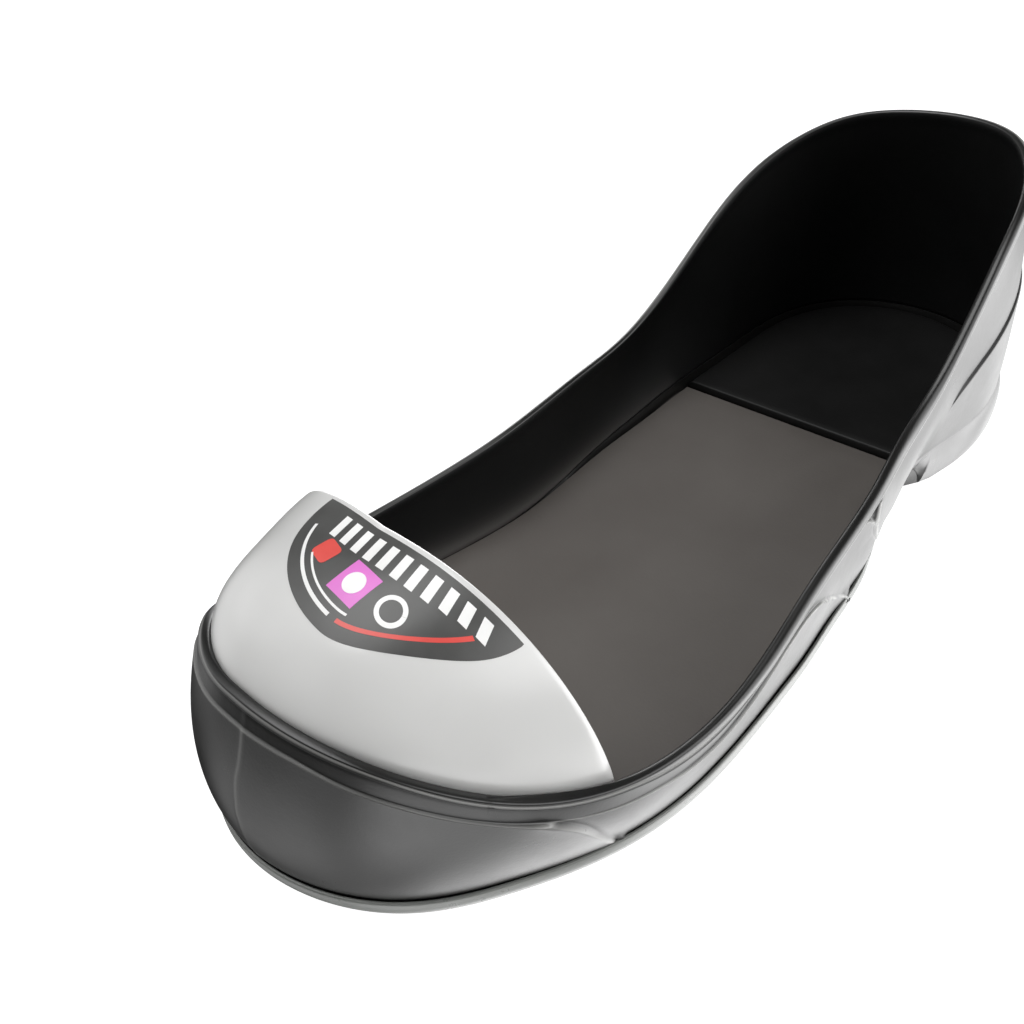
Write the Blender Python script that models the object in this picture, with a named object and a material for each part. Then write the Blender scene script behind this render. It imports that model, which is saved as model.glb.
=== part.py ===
"""Safety toe overshoe for the left foot: a low moulded overshoe with a hard toe cap.

The shoe stands on the ground plane z = 0.  The toe points along -Y, the heel
along +Y and the outer (little toe) side along +X.  Every number is in
millimetres; MM turns it into metres when a mesh is made.
"""
import math

import bmesh
import bpy
import numpy as np
from mathutils import Vector
from mathutils.geometry import delaunay_2d_cdt

MM = 0.001

# ---------------------------------------------------------------- sizes
LENGTH = 300.0          # heel to toe along the sole edge
HEEL_X = 3.0            # where the heel's middle line lies
TOE_X = -6.0            # where the toe's tip lies, nearer the big toe side
TOE_SPRING = 10.0       # how far the sole lifts off the ground at the toe
SPRING_FROM = 0.70      # station where the toe spring starts
ARCH_EDGE = 9.5         # rise of the sole's edge over the waist and heel
ARCH_MIDDLE = 4.6       # rise of the sole's middle there
FLOOR_RISE = 4.4        # rise of the floor inside, from the ball to the heel
ARCH_FRONT = 0.60       # station where the arch starts to rise
ARCH_BACK = 0.31        # station where the arch has its full rise
LUG = 1.6               # depth of the tread
SOLE_EDGE = 5.6         # height of the foxing edge above the tread
LEDGE_IN = 1.3          # the shell wall stands this far inside the foxing edge
WALL = 2.0              # thickness of the shell wall
GAP = 0.35              # clearance between pieces that touch
BOARD = 2.4             # thickness of the footbed board
HEEL_SEAT_RISE = 2.2    # how far the heel seat stands above the board
BREAST = 0.275          # station of the heel breast at the sides
SCOOP = 10.0            # how far the breast's hollow reaches forward
BREAST_BOW = 15.0       # how far the breast bows forward in the middle
CAP_STATION = 0.805     # station of the toe cap's rear edge at the rim
CAP_CROWN = 76.5        # height of the cap's crown above the ground
CAP_PLATE = 1.8         # thickness of the cap's plate
CAP_SKIRT = 9.0         # how far the cap reaches down inside the shell
CAP_LEAN = 5.0          # the crown of the rear edge lies this far forward
COLUMNS = 84            # columns round the outline

# One row for each section, from the heel (0) to the toe (1):
#   lateral, medial: half widths of the sole edge from the middle line
#   rim: height of the rim; lean_lat, lean_med: how far the rim lies inside
#   the sole edge on each side; belly: outward swell of the wall
SECTIONS = (
    dict(at=0.000, lateral=None, medial=None, rim=87.0, lean_lat=5.0, lean_med=5.0, belly=1.0),
    dict(at=0.035, lateral=33.0, medial=26.0, rim=86.0, lean_lat=5.0, lean_med=4.0, belly=1.0),
    dict(at=0.100, lateral=45.5, medial=38.5, rim=81.0, lean_lat=3.7, lean_med=1.5, belly=1.0),
    dict(at=0.200, lateral=50.5, medial=42.0, rim=69.0, lean_lat=2.3, lean_med=-2.0, belly=1.2),
    dict(at=0.300, lateral=47.0, medial=43.0, rim=49.5, lean_lat=-3.8, lean_med=-4.0, belly=3.2),
    dict(at=0.380, lateral=50.0, medial=43.5, rim=41.0, lean_lat=-2.4, lean_med=-3.5, belly=3.2),
    dict(at=0.450, lateral=56.0, medial=45.0, rim=39.0, lean_lat=-0.4, lean_med=-2.0, belly=1.2),
    dict(at=0.580, lateral=60.0, medial=45.5, rim=36.0, lean_lat=-1.2, lean_med=-1.5, belly=0.8),
    dict(at=0.700, lateral=60.0, medial=52.0, rim=32.0, lean_lat=-4.8, lean_med=-2.0, belly=1.2),
    dict(at=0.800, lateral=56.0, medial=55.5, rim=34.0, lean_lat=-4.4, lean_med=1.0, belly=2.0),
    dict(at=0.880, lateral=47.0, medial=49.5, rim=44.0, lean_lat=-1.5, lean_med=6.5, belly=2.4),
    dict(at=0.950, lateral=33.0, medial=37.0, rim=56.7, lean_lat=5.5, lean_med=11.0, belly=2.6),
    dict(at=1.000, lateral=None, medial=None, rim=61.0, lean_lat=12.5, lean_med=12.5, belly=2.6),
)

# The rim seen in section, from the wall outside over the bead to the inside:
# out is outward from the wall's outer face, drop is down from the rim's top.
# part says whether a row belongs to the flat band or to the rolled bead.
RIM = (
    dict(part="band", out=0.4, drop=12.5),
    dict(part="band", out=0.8, drop=8.6),
    dict(part="band", out=0.4, drop=8.0),
    dict(part="band", out=0.4, drop=3.8),
    dict(part="bead", out=0.2, drop=3.3),
    dict(part="bead", out=0.7, drop=2.6),
    dict(part="bead", out=0.8, drop=1.5),
    dict(part="bead", out=0.3, drop=0.4),
    dict(part="bead", out=-0.8, drop=0.0),
    dict(part="bead", out=-1.9, drop=0.5),
    dict(part="bead", out=-2.3, drop=1.6),
    dict(part="bead", out=-2.1, drop=3.2),
)
WALL_ROWS = (0.0, 0.14, 0.32, 0.54, 0.78)          # heights up the outside
LINING_ROWS = (0.82, 0.58, 0.36, 0.16, 0.0)        # heights down the inside

# The sole's side in section, from its top edge down to the tread's base:
# out is outward from the sole edge; up is the share of the side's height
SIDE = (
    dict(out=-0.5, heel_out=-0.5, up=1.00),
    dict(out=0.0, heel_out=0.6, up=0.90),
    dict(out=0.3, heel_out=1.3, up=0.62),
    dict(out=0.1, heel_out=1.0, up=0.34),
    dict(out=-0.9, heel_out=0.4, up=0.10),
    dict(out=-3.0, heel_out=-1.0, up=0.00),
)

# How far the sole's side tucks under at its foot: the heel block is cut in
# towards its breast, and the waist is narrower below than above
TUCK = (
    dict(at=0.225, lateral=0.0, medial=0.0),
    dict(at=0.260, lateral=0.5, medial=0.5),
    dict(at=0.285, lateral=2.5, medial=2.0),
    dict(at=0.320, lateral=6.5, medial=5.0),
    dict(at=0.380, lateral=4.0, medial=3.5),
    dict(at=0.450, lateral=0.0, medial=0.0),
)


# ---------------------------------------------------------------- curves
def smooth(x):
    x = np.clip(x, 0.0, 1.0)
    return x * x * (3.0 - 2.0 * x)


def natural_spline(knots, values):
    """A natural cubic spline through the given knots."""
    x = np.asarray(knots, float)
    y = np.asarray(values, float)
    n = len(x)
    h = np.diff(x)
    a = np.zeros((n, n))
    b = np.zeros(n)
    a[0, 0] = a[-1, -1] = 1.0
    for i in range(1, n - 1):
        a[i, i - 1], a[i, i], a[i, i + 1] = h[i - 1], 2 * (h[i - 1] + h[i]), h[i]
        b[i] = 6 * ((y[i + 1] - y[i]) / h[i] - (y[i] - y[i - 1]) / h[i - 1])
    m = np.linalg.solve(a, b)

    def value(t):
        t = np.clip(np.asarray(t, float), x[0], x[-1])
        i = np.clip(np.searchsorted(x, t, side="right") - 1, 0, n - 2)
        u, w = x[i + 1] - t, t - x[i]
        return ((m[i] * u ** 3 + m[i + 1] * w ** 3) / (6 * h[i])
                + (y[i] / h[i] - m[i] * h[i] / 6) * u
                + (y[i + 1] / h[i] - m[i + 1] * h[i] / 6) * w)
    return value


def closed_spline(points, fine=1600):
    """Points and outward normals, evenly spaced, on a closed cubic spline."""
    p = np.asarray(points, float)
    n = len(p)
    h = np.linalg.norm(np.roll(p, -1, axis=0) - p, axis=1)
    a = np.zeros((n, n))
    b = np.zeros((n, 2))
    for i in range(n):
        j, k = (i - 1) % n, (i + 1) % n
        a[i, j] += h[j]
        a[i, i] += 2 * (h[j] + h[i])
        a[i, k] += h[i]
        b[i] = 6 * ((p[k] - p[i]) / h[i] - (p[i] - p[j]) / h[j])
    m = np.linalg.solve(a, b)
    start = np.r_[0.0, np.cumsum(h)]
    t = np.linspace(0.0, start[-1], fine + 1)[:-1]
    i = np.clip(np.searchsorted(start, t, side="right") - 1, 0, n - 1)
    k = (i + 1) % n
    hi = h[i][:, None]
    u, w = (start[i + 1] - t)[:, None], (t - start[i])[:, None]
    xy = ((m[i] * u ** 3 + m[k] * w ** 3) / (6 * hi)
          + (p[i] / hi - m[i] * hi / 6) * u + (p[k] / hi - m[k] * hi / 6) * w)
    d = np.roll(xy, -1, axis=0) - np.roll(xy, 1, axis=0)
    d /= np.linalg.norm(d, axis=1)[:, None]
    return xy, np.c_[d[:, 1], -d[:, 0]]


STATIONS = [row["at"] for row in SECTIONS]
rim_height = natural_spline(STATIONS, [row["rim"] for row in SECTIONS])
lean_lateral = natural_spline(STATIONS, [row["lean_lat"] for row in SECTIONS])
lean_medial = natural_spline(STATIONS, [row["lean_med"] for row in SECTIONS])
belly = natural_spline(STATIONS, [row["belly"] for row in SECTIONS])


def y_of(station):
    return LENGTH / 2 - station * LENGTH


def station_of(y):
    return (LENGTH / 2 - np.asarray(y, float)) / LENGTH


def spring(y):
    """Lift of the tread at the toe."""
    s = station_of(y)
    return TOE_SPRING * np.clip((s - SPRING_FROM) / (1 - SPRING_FROM), 0, 1) ** 1.9


def rise(y):
    """0 under the ball of the foot, 1 from the arch's back on."""
    return smooth((ARCH_FRONT - station_of(y)) / (ARCH_FRONT - ARCH_BACK))


def edge_lift(y):
    """Lift of the sole's edge above the ground."""
    return spring(y) + ARCH_EDGE * rise(y)


def floor_height(y):
    """The sole's upper face, on which the board lies."""
    return float(spring(y) + SOLE_EDGE + FLOOR_RISE * rise(y))


def outline():
    """The sole edge: from the heel's back along the lateral side to the toe,
    and back along the medial side."""
    rows = [row for row in SECTIONS if row["lateral"] is not None]
    points = [(HEEL_X, y_of(0.0))]
    points += [(row["lateral"], y_of(row["at"])) for row in rows]
    points += [(TOE_X, y_of(1.0))]
    points += [(-row["medial"], y_of(row["at"])) for row in reversed(rows)]
    xy, normal = closed_spline(points)
    if ((xy - xy.mean(axis=0)) * normal).sum() < 0:
        normal = -normal
    return xy, normal


def columns(count, extra_stations):
    """Indices of the outline's points that carry a column of vertices: evenly
    spaced ones, with one exactly at each extra station on both sides."""
    xy, _ = EDGE
    n = len(xy)
    toe = int(np.argmin(xy[:, 1]))
    chosen = set(int(round(k * n / count)) % n for k in range(count))
    chosen |= {0, toe}
    for s in extra_stations:
        y = y_of(s)
        for lo, hi in ((0, toe), (toe, n)):
            k = lo + int(np.argmin(np.abs(xy[lo:hi, 1] - y)))
            chosen = {c for c in chosen if abs(c - k) > 5 or c in KEEP}
            KEEP.add(k)
            chosen.add(k)
    return sorted(chosen), toe


EDGE = outline()
KEEP = set()
FILLET = [BREAST + SCOOP / LENGTH * math.cos(math.radians(a)) for a in (90, 66, 45, 24, 0)]
INDEX, TOE_INDEX = columns(COLUMNS, FILLET + [CAP_STATION])
XY = EDGE[0][INDEX]
NORMAL = EDGE[1][INDEX]
COUNT = len(INDEX)
ON_LATERAL = np.array([i <= TOE_INDEX for i in INDEX])
STATION = station_of(XY[:, 1])
LEAN = np.where(ON_LATERAL, lean_lateral(STATION), lean_medial(STATION))
BELLY = belly(STATION)
FEATHER = edge_lift(XY[:, 1]) + SOLE_EDGE
TOP = rim_height(STATION)


def wall_out(k, z):
    """How far outside the sole edge the shell's outer face lies at height z."""
    f = np.clip((z - FEATHER[k]) / (TOP[k] - FEATHER[k]), 0.0, 1.0)
    return -(LEDGE_IN * (1 - f) ** 2 + LEAN[k] * f ** 1.5) + BELLY[k] * 4 * f * (1 - f)


def band_size(s):
    """The flat band under the bead fades out behind the waist."""
    return float(smooth((s - 0.34) / 0.14))


# ---------------------------------------------------------------- mesh tools
class Solid:
    """Collects vertices and faces of one closed piece, in millimetres."""

    def __init__(self):
        self.v = []
        self.f = []

    def point(self, x, y, z):
        self.v.append((float(x), float(y), float(z)))
        return len(self.v) - 1

    def ring(self, points):
        return [self.point(*p) for p in points]

    def bridge(self, a, b, closed=True):
        """Quads between two rows of points."""
        n = len(a)
        for i in range(n if closed else n - 1):
            j = (i + 1) % n
            if a[i] == b[i] and a[j] == b[j]:
                continue
            quad = [a[i], a[j], b[j], b[i]]
            face = []
            for q in quad:
                if q not in face:
                    face.append(q)
            if len(face) > 2:
                self.f.append(face)

    def fill(self, outer, holes, z_of, step, up):
        """Triangles inside a loop of points, round the holes, with inner
        points on a grid so that the surface can follow z_of(x, y)."""
        loops = [outer] + list(holes)
        ids = [i for loop in loops for i in loop]
        flat = [Vector(self.v[i][:2]) for i in ids]
        edges = []
        base = 0
        for loop in loops:
            n = len(loop)
            edges += [(base + i, base + (i + 1) % n) for i in range(n)]
            base += n
        polys = [np.array([self.v[i][:2] for i in loop]) for loop in loops]
        rim = np.vstack(polys)
        lo, hi = polys[0].min(axis=0), polys[0].max(axis=0)
        for gx in np.arange(lo[0] + step / 2, hi[0], step):
            for gy in np.arange(lo[1] + step / 2, hi[1], step):
                p = np.array([gx, gy])
                if not inside(p, polys[0]) or any(inside(p, h) for h in polys[1:]):
                    continue
                if np.min(np.linalg.norm(rim - p, axis=1)) < 0.45 * step:
                    continue
                flat.append(Vector(p))
                ids.append(self.point(gx, gy, z_of(gx, gy)))
        verts, _, tris, source, _, _ = delaunay_2d_cdt(flat, edges, [], 0, 1e-5)
        for tri in tris:
            corners = [source[i][0] for i in tri]
            c = sum((np.array(verts[i]) for i in tri), np.zeros(2)) / 3
            if not inside(c, polys[0]) or any(inside(c, h) for h in polys[1:]):
                continue
            face = [ids[i] for i in corners]
            self.f.append(face if up else face[::-1])

    def build(self, name, colour, roughness, metallic=0.0):
        mesh = bpy.data.meshes.new(name)
        bm = bmesh.new()
        verts = [bm.verts.new((x * MM, y * MM, z * MM)) for x, y, z in self.v]
        for face in self.f:
            try:
                bm.faces.new([verts[i] for i in face])
            except ValueError:
                pass
        loose = [v for v in bm.verts if not v.link_faces]
        bmesh.ops.delete(bm, geom=loose, context="VERTS")
        bmesh.ops.recalc_face_normals(bm, faces=bm.faces)
        bmesh.ops.triangulate(bm, faces=bm.faces)
        if bm.calc_volume(signed=True) < 0:
            bmesh.ops.reverse_faces(bm, faces=bm.faces)
        bm.to_mesh(mesh)
        bm.free()
        mesh.shade_smooth()
        mesh.set_sharp_from_angle(angle=math.radians(40))
        thing = bpy.data.objects.new(name, mesh)
        bpy.context.scene.collection.objects.link(thing)
        material = bpy.data.materials.new(name + "_material")
        material.use_nodes = True
        shader = material.node_tree.nodes["Principled BSDF"]
        shader.inputs["Base Color"].default_value = (*colour, 1.0)
        shader.inputs["Roughness"].default_value = roughness
        shader.inputs["Metallic"].default_value = metallic
        mesh.materials.append(material)
        return thing


def inside(p, poly):
    x, y = p
    px, py = poly[:, 0], poly[:, 1]
    qx, qy = np.roll(px, -1), np.roll(py, -1)
    hit = (py > y) != (qy > y)
    with np.errstate(divide="ignore", invalid="ignore"):
        cross = px + (y - py) * (qx - px) / (qy - py)
    return bool(np.count_nonzero(hit & (x < cross)) % 2)


# ---------------------------------------------------------------- upper
def make_upper():
    solid = Solid()
    rows = []
    for share in WALL_ROWS:
        row = []
        for k in range(COUNT):
            top = TOP[k] - RIM[0]["drop"]
            z = FEATHER[k] + GAP + share * (top - FEATHER[k] - GAP)
            row.append((*(XY[k] + NORMAL[k] * wall_out(k, z)), z))
        rows.append(row)
    for spec in RIM:
        row = []
        for k in range(COUNT):
            z = TOP[k] - spec["drop"]
            out = spec["out"]
            if spec["part"] == "band":
                out *= band_size(STATION[k])
            row.append((*(XY[k] + NORMAL[k] * (wall_out(k, z) + out)), z))
        rows.append(row)
    for share in LINING_ROWS:
        row = []
        for k in range(COUNT):
            top = TOP[k] - RIM[-1]["drop"] - 1.5
            z = FEATHER[k] + GAP + share * (top - FEATHER[k] - GAP)
            row.append((*(XY[k] + NORMAL[k] * (wall_out(k, z) - WALL)), z))
        rows.append(row)
    rings = [solid.ring(row) for row in rows]
    for a, b in zip(rings, rings[1:] + rings[:1]):
        solid.bridge(a, b)
    return solid.build("upper", (0.012, 0.012, 0.013), 0.28)


# ---------------------------------------------------------------- outsole
def vee(at, side, points_out, width=27.0, depth=24.0, bar=7.6, inset=7.5):
    """A V shaped lug by the sole edge, its point outward or inward."""
    half = 1 if side == "lateral" else -1
    pick = np.where(ON_EDGE == (half > 0))[0]
    k = pick[np.argmin(np.abs(EDGE[0][pick, 1] - y_of(at)))]
    origin = EDGE[0][k] - EDGE[1][k] * inset
    inward = -EDGE[1][k] * 0.45 - np.array([half * 0.55, 0.0])
    inward /= np.linalg.norm(inward)
    along = np.array([-inward[1], inward[0]])
    w, d, b = width / 2, depth, bar
    slope = (w - b / 2) / d
    shape = [(-w, d), (-w + b, d), (0, b * 1.15), (w - b, d), (w, d), (b * 0.5, 0), (-b * 0.5, 0)]
    if not points_out:
        shape = [(u, d - v) for u, v in shape]
    return [tuple(origin + along * u + inward * v) for u, v in shape]


def stroke(path, bar):
    """Outline of a bar that follows a path of straight runs, corners mitred."""
    pts = [np.array(p, float) for p in path]
    left, right = [], []
    for i, p in enumerate(pts):
        before = pts[i] - pts[i - 1] if i else pts[1] - pts[0]
        after = pts[i + 1] - pts[i] if i < len(pts) - 1 else before
        n1 = np.array([-before[1], before[0]]) / np.linalg.norm(before)
        n2 = np.array([-after[1], after[0]]) / np.linalg.norm(after)
        mitre = (n1 + n2) / (1 + n1 @ n2) * bar / 2
        left.append(p + mitre)
        right.append(p - mitre)
    return left + right[::-1]


def place(shape, centre, turn):
    """Turn an outline about its middle and move it to a place."""
    pts = np.array(shape)
    pts = pts - (pts.min(axis=0) + pts.max(axis=0)) / 2
    c, s = math.cos(math.radians(turn)), math.sin(math.radians(turn))
    return [(centre[0] + c * u - s * v, centre[1] + s * u + c * v) for u, v in pts]


ON_EDGE = np.arange(len(EDGE[0])) <= TOE_INDEX


def toe_pad():
    """The crescent pad under the toes, its rear edge notched."""
    y_back = y_of(0.865)
    pick = [k for k in range(COUNT) if (XY[k] - NORMAL[k] * 9.0)[1] < y_back + 4.0]
    arc = [tuple(XY[k] - NORMAL[k] * 9.0) for k in pick]
    a, b = np.array(arc[-1]), np.array(arc[0])
    notch = [(0.22, -3.0), (0.36, 3.5), (0.41, -3.0), (0.50, -3.0), (0.55, 4.5), (0.64, 4.5), (0.69, -3.0), (0.82, 3.0)]
    back = [tuple(a + (b - a) * u + np.array([0.0, v])) for u, v in notch]
    return arc + back


KEY = ((0, 25), (0, 0), (26, 0), (26, 23), (10, 23), (10, 10.5), (17, 10.5))


def lugs():
    """Outlines of the forefoot's lugs."""
    shapes = [toe_pad()]
    for i in range(6):
        at = (0.808, 0.738, 0.674, 0.612, 0.551, 0.490)[i]
        shapes.append(vee(at, "lateral", i % 2 == 0, width=24.0, depth=20.0, bar=6.4))
        shapes.append(vee(at, "medial", i % 2 == 0, width=22.5, depth=18.0 if i < 4 else 17.0, bar=6.4))
    key = stroke(KEY, 6.0)
    shapes.append(place(key, (2.0, -61.0), 33.0))
    shapes.append(place(key, (7.0, -13.0), 213.0))
    shapes.append(place(stroke(((0, 0), (10, 0), (17, 11)), 5.5), (-11.0, -91.5), 10.0))
    lens = [(10 * math.cos(t), 3.0 * math.sin(t)) for t in (0.0, 0.9, 1.57, 2.24, 3.14, 4.04, 4.71, 5.38)]
    shapes.append(place(lens, (12.0, -93.5), -20.0))
    return shapes


def heel_lugs():
    shapes = []
    for i, (y, half) in enumerate(((92.0, 27.0), (108.0, 25.0), (123.0, 19.0))):
        w = 4.2
        shapes.append([(HEEL_X - half, y + 5 - w), (HEEL_X, y - w), (HEEL_X + half, y + 5 - w),
                       (HEEL_X + half, y + 5 + w), (HEEL_X, y + w), (HEEL_X - half, y + 5 + w)])
    return shapes


def half_widths(y):
    """Where the sole edge lies on each side at a place along the shoe."""
    side = EDGE[0][:TOE_INDEX + 1]
    lateral = np.interp(-y, -side[:, 1], side[:, 0])
    side = EDGE[0][TOE_INDEX:]
    medial = np.interp(y, side[:, 1], side[:, 0])
    return lateral, medial


def base_height(x, y):
    """Underside of the sole between the lugs: the waist rises to its edges."""
    lateral, medial = half_widths(y)
    u = abs(2 * (x - medial) / max(lateral - medial, 1.0) - 1)
    lift = ARCH_MIDDLE + (ARCH_EDGE - ARCH_MIDDLE) * min(u, 1.0) ** 4
    return float(spring(y) + LUG + lift * rise(y))


def tuck(k, up):
    """Inward shift of the sole's side at a share of its height."""
    side = "lateral" if ON_LATERAL[k] else "medial"
    foot = np.interp(STATION[k], [row["at"] for row in TUCK], [row[side] for row in TUCK])
    return float(foot) * (1 - up) ** 1.5


def side_bottom(k):
    """Lower edge of the sole's side: on the heel block it comes down to the
    tread, and in the breast's hollow it follows a quarter of an ellipse."""
    s = STATION[k]
    if s <= BREAST + 1e-4:
        return LUG
    reach = (s - BREAST) * LENGTH / SCOOP
    full = base_height(*XY[k])
    if reach < 1.0 - 1e-3:
        return LUG + (full - LUG) * math.sqrt(max(0.0, 1 - (1 - reach) ** 2))
    return full


def make_outsole():
    solid = Solid()
    rings = []
    for spec in SIDE:
        row = []
        for k in range(COUNT):
            low = side_bottom(k)
            z = low + spec["up"] * (FEATHER[k] - low)
            heel = float(smooth((BREAST + SCOOP / LENGTH + 0.03 - STATION[k]) / 0.06))
            out = spec["out"] * (1 - heel) + spec["heel_out"] * heel - tuck(k, spec["up"])
            row.append((*(XY[k] + NORMAL[k] * out), z))
        rings.append(solid.ring(row))
    for a, b in zip(rings, rings[1:]):
        solid.bridge(a, b)
    # top: a ledge under the shell, and the floor under the board
    ledge, floor = [], []
    for k in range(COUNT):
        x, y = XY[k] - NORMAL[k] * (LEDGE_IN + WALL + 0.2)
        ledge.append((x, y, FEATHER[k]))
        x, y = XY[k] - NORMAL[k] * (LEDGE_IN + WALL + 1.2)
        floor.append((x, y, floor_height(y)))
    ledge, floor = solid.ring(ledge), solid.ring(floor)
    solid.bridge(rings[0], ledge)
    solid.bridge(ledge, floor)
    solid.fill(floor, [], lambda x, y: floor_height(y), 13.0, True)
    # breast: columns of the hollow on each side, joined across
    bottom = rings[-1]
    hollow = []
    for s in FILLET:
        pair = []
        for lateral in (True, False):
            ks = [k for k in range(COUNT) if ON_LATERAL[k] == lateral]
            pair.append(min(ks, key=lambda k: abs(STATION[k] - s)))
        hollow.append(pair)
    across = 14
    grid = []
    for kl, km in hollow:
        p, q = np.array(solid.v[bottom[kl]]), np.array(solid.v[bottom[km]])
        row = [bottom[kl]]
        share = (p[2] - LUG) / max(solid.v[bottom[hollow[-1][0]]][2] - LUG, 1e-6)
        for j in range(1, across):
            w = j / across
            bow = BREAST_BOW * (1 - abs(2 * w - 1) ** 5)
            x, y, z = p * (1 - w) + q * w
            y -= bow
            if share > 0:
                z = LUG + share * (base_height(x, y) - LUG)
            row.append(solid.point(x, y, z))
        row.append(bottom[km])
        grid.append(row)
    for a, b in zip(grid, grid[1:]):
        solid.bridge(a, b, closed=False)
    first_l, first_m = hollow[-1]
    back_l, back_m = hollow[0]
    # waist and forefoot, with the lugs standing out of it
    loop = bottom[first_l:first_m + 1] + grid[-1][1:-1][::-1]
    holes = []
    for shape in lugs():
        pts = np.array(shape)
        centre = pts.mean(axis=0)
        foot = solid.ring([(x, y, base_height(x, y)) for x, y in pts])
        tip = []
        for x, y in pts:
            d = centre - (x, y)
            d = d / max(np.linalg.norm(d), 1e-6) * 0.35
            tip.append(solid.point(x + d[0], y + d[1], base_height(x, y) - LUG))
        solid.bridge(foot, tip)
        holes.append(foot)
        solid.fill(tip, [], lambda x, y: base_height(x, y) - LUG, 14.0, False)
    solid.fill(loop, holes, base_height, 14.0, False)
    # heel
    loop = bottom[:back_l + 1] + grid[0][1:-1] + bottom[back_m:]
    holes = []
    for shape in heel_lugs():
        foot = solid.ring([(x, y, LUG) for x, y in shape])
        tip = solid.ring([(x, y, 0.0) for x, y in shape])
        solid.bridge(foot, tip)
        holes.append(foot)
        solid.fill(tip, [], lambda x, y: 0.0, 30.0, False)
    solid.fill(loop, holes, lambda x, y: LUG, 30.0, False)
    return solid.build("outsole", (0.015, 0.014, 0.014), 0.4)


# ---------------------------------------------------------------- footbed
def lining(k, z, clear):
    """A point just inside the shell's lining, or inside the sole's cup where
    the floor lies lower than the shell."""
    out = wall_out(k, max(z, FEATHER[k])) - WALL - clear
    return XY[k] + NORMAL[k] * min(out, -(LEDGE_IN + WALL + 1.4 + clear))


def board_rings(solid, levels, keep, back, trims, height):
    """Rings of a plate that follows the lining at keep's columns and is cut
    straight across at back."""
    rings = []
    for (lift, clear), trim in zip(levels, trims):
        row = []
        edge = []
        for k in keep:
            z = height(XY[k][1]) + lift
            edge.append(lining(k, z, clear))
        for p in edge:
            row.append((p[0], p[1], height(p[1]) + lift))
        first, last = edge[0], edge[-1]
        across = 8
        for j in range(across + 1):
            u = j / across
            x = last[0] * (1 - u) + first[0] * u
            y = back + trim
            row.append((x, y, height(y) + lift))
        rings.append(solid.ring(row))
    return rings


def make_insole():
    solid = Solid()
    back = y_of(0.300)
    keep = [k for k in range(COUNT) if XY[k][1] < back - 2.0]
    low = GAP + 0.15
    levels = ((low, GAP), (BOARD - 0.6, GAP), (BOARD, GAP + 0.7))
    rings = board_rings(solid, levels, keep, back, (0.0, 0.0, -0.4), floor_height)
    for a, b in zip(rings, rings[1:]):
        solid.bridge(a, b)
    solid.fill(rings[0], [], lambda x, y: floor_height(y) + low, 13.0, False)
    solid.fill(rings[-1], [], lambda x, y: floor_height(y) + BOARD, 13.0, True)
    return solid.build("insole", (0.10, 0.096, 0.09), 0.55)


def make_heel_seat():
    solid = Solid()
    front = y_of(0.300) + GAP
    top = BOARD + HEEL_SEAT_RISE
    keep = [k for k in range(COUNT) if XY[k][1] > front + 3.0]
    # the loop runs from the medial side through the heel's back
    order = [k for k in keep if not ON_LATERAL[k]] + [k for k in keep if ON_LATERAL[k]]
    levels = ((GAP, GAP), (top * 0.5, GAP + 1.2), (top - 0.8, GAP + 3.4), (top, GAP + 5.0))
    rings = board_rings(solid, levels, order, front, (0.0, 0.0, 0.2, 1.0), floor_height)
    for a, b in zip(rings, rings[1:]):
        solid.bridge(a, b)
    solid.fill(rings[0], [], lambda x, y: floor_height(y) + GAP, 30.0, False)
    solid.fill(rings[-1], [], lambda x, y: floor_height(y) + top, 30.0, True)
    return solid.build("heel_seat", (0.012, 0.012, 0.012), 0.4)


# ---------------------------------------------------------------- toe cap
CAP_RINGS = (0.30, 0.52, 0.68, 0.79, 0.87, 0.93, 0.97, 0.993)


def cap_boundary():
    """Where the cap's outer face comes out of the bead, column by column."""
    pick = [k for k in range(COUNT) if STATION[k] >= CAP_STATION - 1e-3]
    edge = []
    for k in pick:
        z = TOP[k] - 2.2
        out = wall_out(k, z) + RIM[-2]["out"] - GAP - 0.1
        edge.append((*(XY[k] + NORMAL[k] * out), z))
    return pick, np.array(edge)


def cap_point(edge, centre, i, r):
    """Outer face of the dome: r runs from the crown at the rear (0) to the
    bead (1) along the ray to boundary point i."""
    b = edge[i]
    rise = (1 - r ** 2.6) ** (1 / 1.6) if r < 1 else 0.0
    xy = centre + (b[:2] - centre) * r
    z = b[2] + (CAP_CROWN - b[2]) * rise
    share = (z - b[2]) / (CAP_CROWN - b[2])
    return np.array([xy[0], xy[1] - CAP_LEAN * share * (1 - 0.6 * r), z])


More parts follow.
